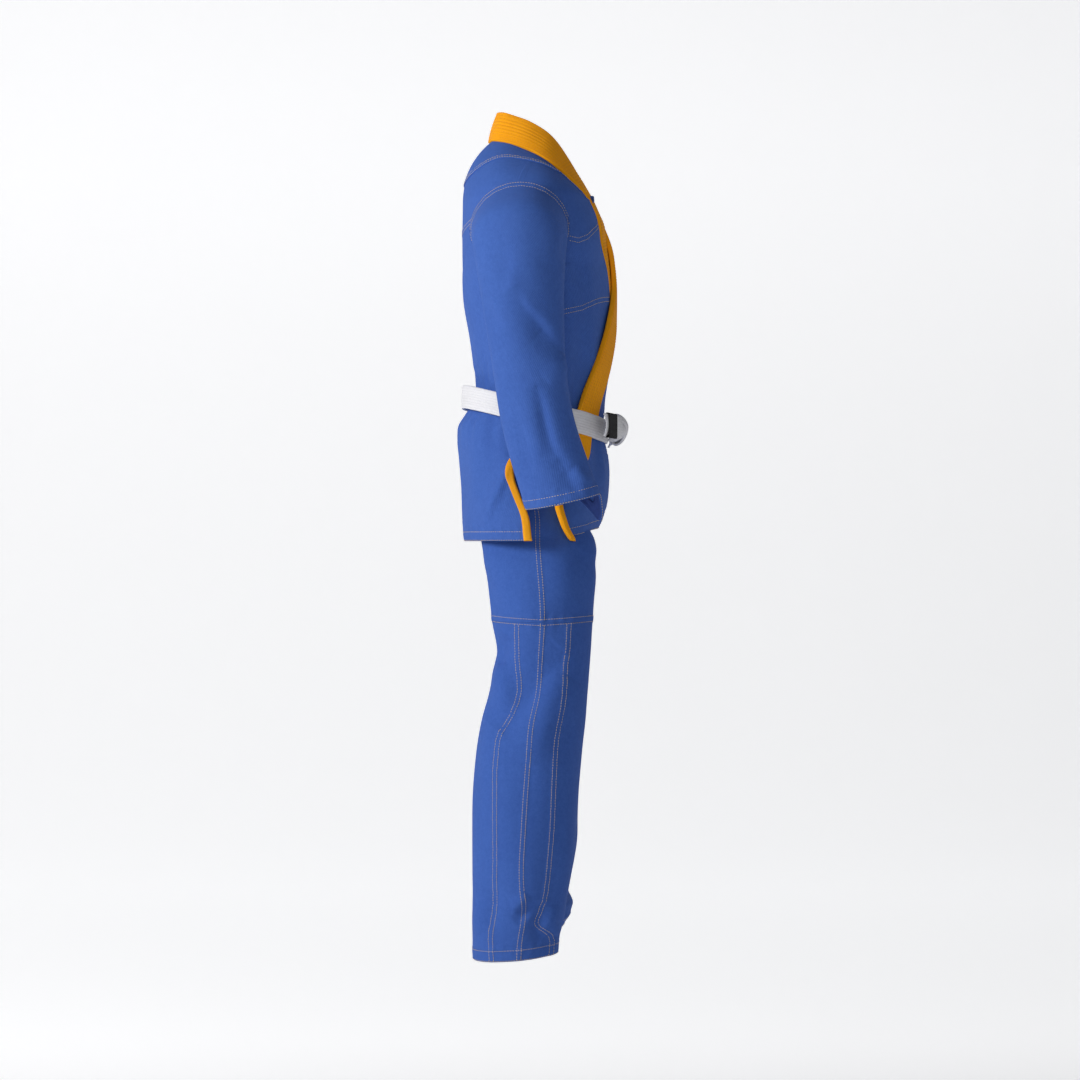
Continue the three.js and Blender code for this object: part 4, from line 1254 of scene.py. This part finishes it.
def column_at(cloth, d, start=0.0, end=1.0, right=False, n=60):
    """A row of thread across a panel, d in from its first or last edge."""
    v = np.linspace(start, end, n)
    near, far = (1.0, 0.98) if right else (0.0, 0.02)
    span = np.linalg.norm(cloth.shape(np.full(n, far), v) - cloth.shape(np.full(n, near), v), axis=-1) / 0.02
    u = 1 - d / span if right else d / span
    return cloth, np.column_stack([u, v])


def body_v(a, z):
    """How far up a body panel a height is, at an angle."""
    low = body_low(a)
    return (z - low) / (SHOULDER - low) / TOP


def front_row(cloth, y, z, edge_of):
    """A row of thread across a front panel, as far as the collar."""
    a = ring_angle(y, z)
    start, outer = edge_of(z), armhole_front(z, z)
    u = (a - start) / (outer - start)
    seen = a - start > 6.2
    return cloth, np.column_stack([u, body_v(a, z)])[seen]


jacket_rows = []
upper_y = -np.linspace(50, 122, 30)
lower_y = -np.linspace(34, 126, 30)
for cloth, edge_of in ((left_front_cloth, outer_edge), (right_front_cloth, inner_edge)):
    for shift in (-2.0, -9.5):
        jacket_rows.append(front_row(cloth, upper_y, chest_rows(upper_y)[0] + shift, edge_of))
    for shift in (2.0, 9.5):
        jacket_rows.append(front_row(cloth, lower_y, chest_rows(lower_y)[1] + shift, edge_of))
    jacket_rows += [column_at(cloth, d, 0.05, 0.57, right=True) for d in (3.0, 10.0)]
u = np.linspace(0.01, 0.99, 120)
for shift in FELL_ROWS:
    z = np.full(u.shape, 1240.0)
    for _ in range(4):
        edge_at = armhole_back(z, z)
        a = mix(edge_at, 360 - edge_at, u)
        z = back_seam(ring(a, z)[..., 0]) + shift
    jacket_rows.append((back_cloth, np.column_stack([u, body_v(a, z)])))
jacket_rows += [row_at(yoke_cloth, d) for d in FELL_ROWS]
jacket_threads = stitch("jacket_stitching", jacket_rows, TAN)

skirt_back_rows = [row_at(back_skirt_cloth, d, 0.03, 0.97) for d in HEM_ROWS]
back_threads = stitch("skirt_back_stitching", skirt_back_rows, TAN)
skirt_front_rows = [row_at(left_skirt_cloth, d, 0.02, 0.97) for d in HEM_ROWS]
skirt_front_rows += [row_at(right_skirt_cloth, d, 0.03, 0.97) for d in HEM_ROWS]
front_threads = stitch("skirt_front_stitching", skirt_front_rows, TAN)

sleeve_threads = {}
for side, cloth in sleeve_cloths.items():
    rows = [row_at(cloth, d, top=True, n=160) for d in (1.6, 8.6)]
    rows += [row_at(cloth, d, n=120) for d in HEM_ROWS]
    sleeve_threads[side] = stitch(f"{side}_sleeve_stitching", rows, TAN)

leg_threads, hip_threads = {}, {}
z_low = np.linspace(1, 567, 140)
z_up = np.linspace(572, 900, 80)
u = np.linspace(0, 1, 140)
row = leg_row(leg_at(u, np.full(u.shape, 565.0), False)[..., 1])
for side, (low_cloth, up_cloth) in leg_cloths.items():
    low_rows = []
    for line in line_of.values():
        for shift in LEG_SEAM_ROWS:
            around = leg_u(line(z_low)[0] + shift, z_low)
            low_rows.append((low_cloth, np.column_stack([around, z_low / LEG_ROW])))
    low_rows.append((low_cloth, np.column_stack([u, (row - 4.8) / LEG_ROW])))
    low_rows += [row_at(low_cloth, d, n=140) for d in (1.6, 18.5)]
    leg_threads[side] = stitch(f"{side}_leg_stitching", low_rows, TAN)
    up_rows = []
    for shift in LEG_SEAM_ROWS:
        around = leg_u(line_of["side"](z_up)[0] + shift, z_up)
        up_rows.append((up_cloth, np.column_stack([around, (z_up - HIP_LOW) / (HIP_TOP - HIP_LOW)])))
    up_rows.append((up_cloth, np.column_stack([u, (row + 4.8 - HIP_LOW) / (HIP_TOP - HIP_LOW)])))
    hip_threads[side] = stitch(f"{side}_hip_stitching", up_rows, TAN)

waist_threads = stitch("waistband_stitching", [row_at(waist_cloth, 3), row_at(waist_cloth, 3, top=True)], TAN)

collar_rows = []
for cloth in (band_left, band_right):
    for k in range(10):
        v = min(max(0.14 + 0.72 * k / 9, 0.17), 0.83)
        collar_rows.append((cloth, np.column_stack([np.linspace(0.004, 0.996, 200), np.full(200, v)])))
collar_threads = stitch("collar_stitching", collar_rows, GOLD, pitch=5.6, length=4.0, radius=0.32)


SLOTS = {BLUE: "jacket_cloth", LINING: "jacket_cloth", TWILL: "trouser_cloth", ORANGE: "collar_cloth",
         TAPE: "vent_tape", WHITE: "belt_cloth", BLACK: "rank_bar_cloth"}


def carry(piece, body, *nodes, slot=None):
    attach(piece, body)
    settle(piece, nodes, slot)


def settle(piece, nodes, slot=None):
    if nodes:
        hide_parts(*nodes)
    slot or SLOTS.get(piece.data.materials[0], "jacket_cloth")


carry(back, "jacket", "back_panel")
carry(left_front, "jacket", "left_front_panel", "left_chest_reinforcement", "left_underarm_gusset")
carry(right_front, "jacket", "right_front_panel", "right_chest_reinforcement", "right_underarm_gusset")
carry(yoke, "jacket", "shoulder_yoke")
carry(collar[0], "jacket", "collar_cover", "collar_facing", "collar_core")
carry(collar[1], "jacket")
carry(collar_threads, "jacket", slot="collar_cloth")
carry(jacket_threads, "jacket")
carry(belts["belt_under"], "jacket", "belt_inner_wrap")
carry(belts["belt_over"], "jacket", "belt_outer_wrap")
for name, piece in knots.items():
    carry(piece, "jacket", *(["belt_knot"] if name == "knot_core" else []))
carry(tails["right"], "right_tail", "right_belt_tail")
carry(tails["left"], "left_tail", "left_belt_tail")
carry(bar, "right_tail", "rank_bar")
for side in ("right", "left"):
    arm_nodes = (f"{side}_sleeve", f"{side}_sleeve_head")
    leg_nodes = (f"{side}_lower_leg", f"{side}_knee", f"{side}_knee_patch")
    for piece, nodes in ((sleeves[side], arm_nodes), (sleeve_threads[side], ())):
        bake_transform(piece)
        settle(piece, nodes)
    carry(linings[side], f"{side}_sleeve", f"{side}_cuff_facing")
    for piece, nodes in ((legs_low[side], leg_nodes), (leg_threads[side], ())):
        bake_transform(piece)
        settle(piece, nodes, "trouser_cloth")
    carry(linings[f"leg_{side}"], f"{side}_leg", f"{side}_leg_hem_facing", slot="trouser_cloth")
    carry(legs_up[side], "trousers", f"{side}_upper_trouser")
    carry(hip_threads[side], "trousers", slot="trouser_cloth")
carry(waist, "trousers", "waistband_outer")
carry(waist_inner, "trousers", "waistband_inner", slot="trouser_cloth")
carry(waist_threads, "trousers", slot="trouser_cloth")
BACK_SKIRT_PIECES = (
    (back_skirt, ("back_skirt", "back_hem_facing")),
    (back_threads, ()),
    (tapes["tape_back_left"], ("left_back_vent_tape",)),
    (tapes["tape_back_right"], ("right_back_vent_tape",)),
)
for piece, nodes in BACK_SKIRT_PIECES:
    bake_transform(piece)
    settle(piece, nodes)
FRONT_SKIRT_PIECES = (
    (left_skirt, ("left_front_skirt", "left_front_hem_facing")),
    (right_skirt, ("right_front_skirt",)),
    (front_threads, ()),
    (tapes["tape_front_left"], ("left_front_vent_tape",)),
    (end_outer, ("outer_collar_end",)),
    (end_inner, ("inner_collar_end",)),
)
for piece, nodes in FRONT_SKIRT_PIECES:
    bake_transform(piece)
    settle(piece, nodes)

# ---- the cloth as it was cut ---------------------------------------------------------------------
CUT = [  # piece, width and length in metres, flat area, how it is held, what holds it, what is sewn to it
    (yoke, 0.40, 0.14, 0.032, "draped", [collar[0]], []),
    (back, 0.52, 0.47, 0.176, "hung", [yoke], [jacket_threads]),
    (left_front, 0.40, 0.48, 0.12, "hung", [yoke], []),
    (right_front, 0.34, 0.48, 0.10, "hung", [yoke], []),
    (back_skirt, 0.47, 0.25, 0.106, "hung", [back], [back_threads]),
    (left_skirt, 0.36, 0.21, 0.067, "hung", [left_front], [front_threads]),
    (right_skirt, 0.33, 0.20, 0.059, "hung", [right_front], []),
    (waist, 0.04, 0.77, 0.0308, "gathered", [waist_inner], [waist_threads]),
    (belts["belt_under"], 0.04, 0.92, 0.0368, "stretched", [back], []),
    (belts["belt_over"], 0.04, 0.93, 0.0372, "stretched", [belts["belt_under"]], []),
    (tails["left"], 0.04, 0.122, 0.00488, "hung", [knots["knot_core"]], []),
    (tails["right"], 0.04, 0.122, 0.00488, "hung", [knots["knot_core"]], [bar]),
]
for side in ("left", "right"):
    CUT += [
        (sleeves[side], 0.42, 0.57, 0.198, "hung", [yoke], [linings[side], sleeve_threads[side]]),
        (legs_up[side], 0.50, 0.39, 0.178, "hung", [waist], [hip_threads[side]]),
        (legs_low[side], 0.53, 0.58, 0.29, "hung", [legs_up[side]], [linings[f"leg_{side}"], leg_threads[side]]),
    ]
for piece, width, length, area, held, on, sewn in CUT:
    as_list(on)
    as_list(sewn)


# ---- studio --------------------------------------------------------------------------------------
def paper(name, color):
    """Pale paper with painted light: it glows softly far behind the uniform, as a lit backdrop does, a little
    more towards +y.
    """
    m, tree, shader = nodes_of(name)
    where = add(tree, "ShaderNodeTexCoord").outputs["Object"]
    noise = add(tree, "ShaderNodeTexNoise", Vector=where, Scale=3.0).outputs[0]
    blend = add(tree, "ShaderNodeMix", _data_type="RGBA", Factor=noise)
    blend.inputs[6].default_value = tuple(c * 0.985 for c in color[:3]) + (1,)
    blend.inputs[7].default_value = color
    tree.links.new(blend.outputs[2], shader.inputs["Base Color"])
    shader.inputs["Roughness"].default_value = 0.9
    place = add(tree, "ShaderNodeSeparateXYZ", Vector=where)
    away = add(tree, "ShaderNodeMapRange", _interpolation_type="SMOOTHSTEP", Value=place.outputs[0])
    for k, value in enumerate((-0.5, 2.2, 0.0, 0.5)):
        away.inputs[k + 1].default_value = value
    # Painted light: the glow is a little stronger towards +y, the side of the key light.
    across = add(tree, "ShaderNodeMapRange", Value=place.outputs[1])
    for k, value in enumerate((-2.4, 2.4, 0.92, 1.06)):
        across.inputs[k + 1].default_value = value
    shader.inputs["Emission Color"].default_value = (1, 1, 1, 1)
    glow = maths(tree, "MULTIPLY", away.outputs[0], across.outputs[0])
    tree.links.new(glow, shader.inputs["Emission Strength"])
    return m


def sweep():
    """A pale floor that curves up into a wall far behind the uniform."""
    bm = bmesh.new()
    bmesh.ops.create_grid(bm, x_segments=60, y_segments=2, size=0.5)
    floor_z = LOW.z - 0.55
    bend = 3.0
    for v in bm.verts:
        w = v.co.y * 26
        run = (v.co.x + 0.5) * 22 - 9
        if run < 5:
            v.co = (run, w, floor_z)
        elif run < 5 + bend * math.pi / 2:
            t = (run - 5) / bend
            v.co = (5 + bend * math.sin(t), w, floor_z + bend * (1 - math.cos(t)))
        else:
            v.co = (5 + bend, w, floor_z + bend + run - 5 - bend * math.pi / 2)
    mesh = bpy.data.meshes.new("sweep")
    bm.to_mesh(mesh)
    bm.free()
    return finish_mesh(bpy.data.objects.new("sweep", mesh), paper("paper", linear(244, 244, 246)))


floor = sweep()


def lamp(name, where, aim, energy, size, color):
    data = bpy.data.lights.new(name, "AREA")
    data.energy, data.size, data.color = energy, size, color
    obj = bpy.data.objects.new(name, data)
    obj.location = where
    obj.rotation_euler = (Vector(aim) - Vector(where)).to_track_quat("-Z", "Y").to_euler()
    bpy.context.scene.collection.objects.link(obj)


middle = (0, 0, LOW.z + 0.75)
lamp("key", (-2.1, 3.6, LOW.z + 2.2), middle, 150, 1.5, (1.0, 0.99, 0.975))
lamp("fill", (-4.6, -0.6, LOW.z + 1.4), middle, 42, 2.5, (1.0, 0.98, 0.95))
world = bpy.data.worlds.new("studio")
bpy.context.scene.world = world
world.use_nodes = True
world.node_tree.nodes["Background"].inputs[0].default_value = (0.93, 0.96, 1.0, 1)
world.node_tree.nodes["Background"].inputs[1].default_value = 0.2
bpy.context.scene.view_settings.view_transform = "Standard"

CAMERA_FAR = 4600
VIEW_WIDE = 1884.6  # how much the camera sees across at the middle of the uniform
camera_data = bpy.data.cameras.new("camera")
camera_data.sensor_width = 36
camera_data.lens = 36 * CAMERA_FAR / VIEW_WIDE
camera = bpy.data.objects.new("camera", camera_data)
camera.location = (-CAMERA_FAR * MM, 0, LOW.z + 708 * MM)
camera.rotation_euler = (math.radians(90), 0, math.radians(-90))
bpy.context.scene.collection.objects.link(camera)
bpy.context.scene.camera = camera

bpy.context.view_layer.update()
